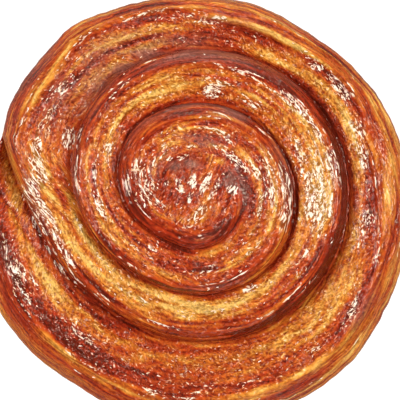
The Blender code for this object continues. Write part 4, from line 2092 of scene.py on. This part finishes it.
    def _welded(self, top: Sheet, wall: Sheet) -> tuple[Sheet, Array, Array, Array]:
        """Welds the strand's edges to each other and the wall to the rim.

        Args:
            top: the strand's top.
            wall: the wall, whose first row is the rim.

        Returns:
            All places as one list, the place that stands for each of them, the corners of the
            four-sided faces, and the base's corners.
        """
        rows, columns, _ = top.places.shape
        turn = self.steps_per_turn
        own = np.arange(rows * columns).reshape(rows, columns)
        shared = own.copy()
        shared[turn + 1 :, 0] = shared[1 : rows - turn, -1]
        shared[0, :] = shared[0, 0]
        shared[turn, 0] = shared[0, 0]
        shared[-1, :] = shared[-1, -1]
        shared[rows - turn :, -1] = shared[-1, -1]
        wall_own = np.arange((self.wall_rows + 1) * (turn + 1)).reshape(-1, turn + 1) + own.size
        wall_shared = wall_own.copy()
        wall_shared[0] = shared[: turn + 1, 0]
        wall_shared[:, -1] = wall_shared[:, 0]
        quads = np.stack((own[:-1, :-1], own[:-1, 1:], own[1:, 1:], own[1:, :-1]), axis=-1)
        corners = (wall_own[:-1, :-1], wall_own[:-1, 1:], wall_own[1:, 1:], wall_own[1:, :-1])
        wall_quads = np.stack(corners, axis=-1)
        faces = np.vstack((quads.reshape(-1, 4), wall_quads.reshape(-1, 4)))
        stands_for = np.concatenate((shared.ravel(), wall_shared.ravel()))
        return top.joined(wall), stands_for, faces, wall_own[-1, :-1][::-1]

    def _mesh(self, sheet: Sheet, stands_for: Array, quads: Array, base: Array) -> bpy.types.Object:
        """Makes the mesh object, with its patterns on the corners of its faces.

        Args:
            sheet: all places and their patterns.
            stands_for: the place that stands for each place, once the edges are welded.
            quads: the corners of the faces, before the welding.
            base: the base's corners.

        Returns:
            The new object.
        """
        used, vertex_of = np.unique(stands_for, return_inverse=True)
        faces = []
        corners = []
        for quad, welded in zip(quads.tolist(), vertex_of[quads].tolist()):
            kept = dict(zip(welded[::-1], quad[::-1]))
            if len(kept) > 2:
                order = list(dict.fromkeys(welded))
                faces.append(order)
                corners.extend(kept[vertex] for vertex in order)
        faces.append(vertex_of[base].tolist())
        corners.extend(base.tolist())
        crust = new_piece("pastry_crust", sheet.places[used], faces)
        mesh = crust.data
        corners = np.array(corners)
        strand = mesh.attributes.new(Slot.STRAND.value, "FLOAT_VECTOR", "CORNER")
        strand.data.foreach_set("vector", sheet.strand[corners].ravel())
        for slot, mask in sheet.masks.items():
            layer = mesh.attributes.new(slot.value, "FLOAT", "CORNER")
            layer.data.foreach_set("value", mask[corners])
        mesh.polygons[-1].material_index = 1
        mesh.polygons[-1].use_smooth = False
        return crust

    def _fit(self, places: Array) -> tuple[Array, Array]:
        """Puts the crust in the middle of the frame's box and inside it.

        Args:
            places: all of the crust's places.

        Returns:
            The shift and the scale that do so.
        """
        low, high = np.array(CAD_BOX[0]), np.array(CAD_BOX[1])
        least, most = places.min(axis=0), places.max(axis=0)
        middle = (least + most) / 2
        middle[2] = least[2]
        target = (low + high) / 2
        target[2] = low[2]
        shrink = np.minimum((high - low) / (most - least), 1.0)
        over = (most - least) / (high - low)
        LOG.info("crust over the frame's box: %s, middle %s mm", over.round(4), middle / MM)
        return target - middle * shrink, shrink


@dataclass(frozen=True)
class GlazeDrops:
    """Small drops of set sugar glaze, which stand on the crust where it has gloss and painted glints."""

    count: int = 1700
    seed: Seed = Seed.DROPS
    least_gloss_and_glint: float = 0.22
    everywhere: float = 0.035
    level_power: int = 4
    half_length: tuple[float, float] = (0.14 * MM, 0.5 * MM)
    width_share: tuple[float, float] = (0.24, 0.42)
    half_height: float = 0.12 * MM
    underside: float = -0.5
    turned: float = 40.0
    uneven: float = 0.12
    ball_detail: int = 2

    def build(self, top: Sheet, finish: bpy.types.Material) -> bpy.types.Object:
        """Scatters the drops.

        Args:
            top: the crust's top, in place.
            finish: the glaze.

        Returns:
            All the drops as one piece.
        """
        draw = np.random.default_rng(self.seed.value)
        ahead = np.gradient(top.places, axis=0).reshape(-1, 3)
        inward = np.gradient(top.places, axis=1).reshape(-1, 3)
        normal = np.cross(inward, ahead)
        area = np.linalg.norm(normal, axis=1)
        normal = unit(normal)
        chance = np.clip(top.masks[Slot.GLOSS_AND_PAINTED_GLINTS].ravel() - self.least_gloss_and_glint, 0.0, None)
        chance = chance + self.everywhere * top.masks[Slot.BUBBLY].ravel()
        chance = area * chance * normal[:, 2] ** self.level_power
        chosen = draw.choice(chance.size, self.count, replace=False, p=chance / chance.sum())
        up = normal[chosen] * np.sign(normal[chosen][:, 2:])
        turned = np.radians(draw.uniform(-self.turned, self.turned, (self.count, 1)))
        along = unit(ahead[chosen])
        aside = np.cross(up, along)
        along = along * np.cos(turned) + aside * np.sin(turned)
        aside = np.cross(up, along)
        length = draw.uniform(*self.half_length, (self.count, 1, 1))
        width = length * draw.uniform(*self.width_share, (self.count, 1, 1))
        ball, faces = self._ball()
        lumpy = ball * (1.0 + self.uneven * draw.normal(size=(self.count, len(ball), 1)))
        shape = along[:, None] * lumpy[..., :1] * length + aside[:, None] * lumpy[..., 1:2] * width
        shape = shape + up[:, None] * np.maximum(lumpy[..., 2:], self.underside) * self.half_height
        places = top.places.reshape(-1, 3)[chosen][:, None] + shape
        places = np.clip(places.reshape(-1, 3), CAD_BOX[0], CAD_BOX[1])
        corners = faces[None] + len(ball) * np.arange(self.count)[:, None, None]
        drops = new_piece("glaze_drops", places, corners.reshape(-1, 3).tolist())
        drops.data.materials.append(finish)
        return drops

    def _ball(self) -> tuple[Array, Array]:
        """The ball that each drop is shaped from.

        Returns:
            Its vertices and its faces.
        """
        ball = bmesh.new()
        bmesh.ops.create_icosphere(ball, subdivisions=self.ball_detail, radius=1.0)
        vertices = np.array([vertex.co for vertex in ball.verts])
        faces = np.array([[vertex.index for vertex in face.verts] for face in ball.faces])
        ball.free()
        return vertices, faces


def main() -> None:
    """Builds the camera, the studio and the pastry."""
    logging.basicConfig(level=logging.INFO, format="%(message)s")
    bpy.context.scene.view_settings.view_transform = "Standard"
    PhotoCamera().build()
    Studio().build()
    strokes = StrandStrokes().build()
    bubbles = CrustBubbles().build()
    finishes = (CrustFinish().build(strokes, bubbles), BaseFinish().build(bubbles))
    crust, top = Crust().build(finishes)
    drops = GlazeDrops().build(top, GlazeFinish().build(bubbles))
    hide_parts(NODE)
    for piece in (crust, drops):
        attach(piece, "root")


if __name__ == "__main__":
    main()
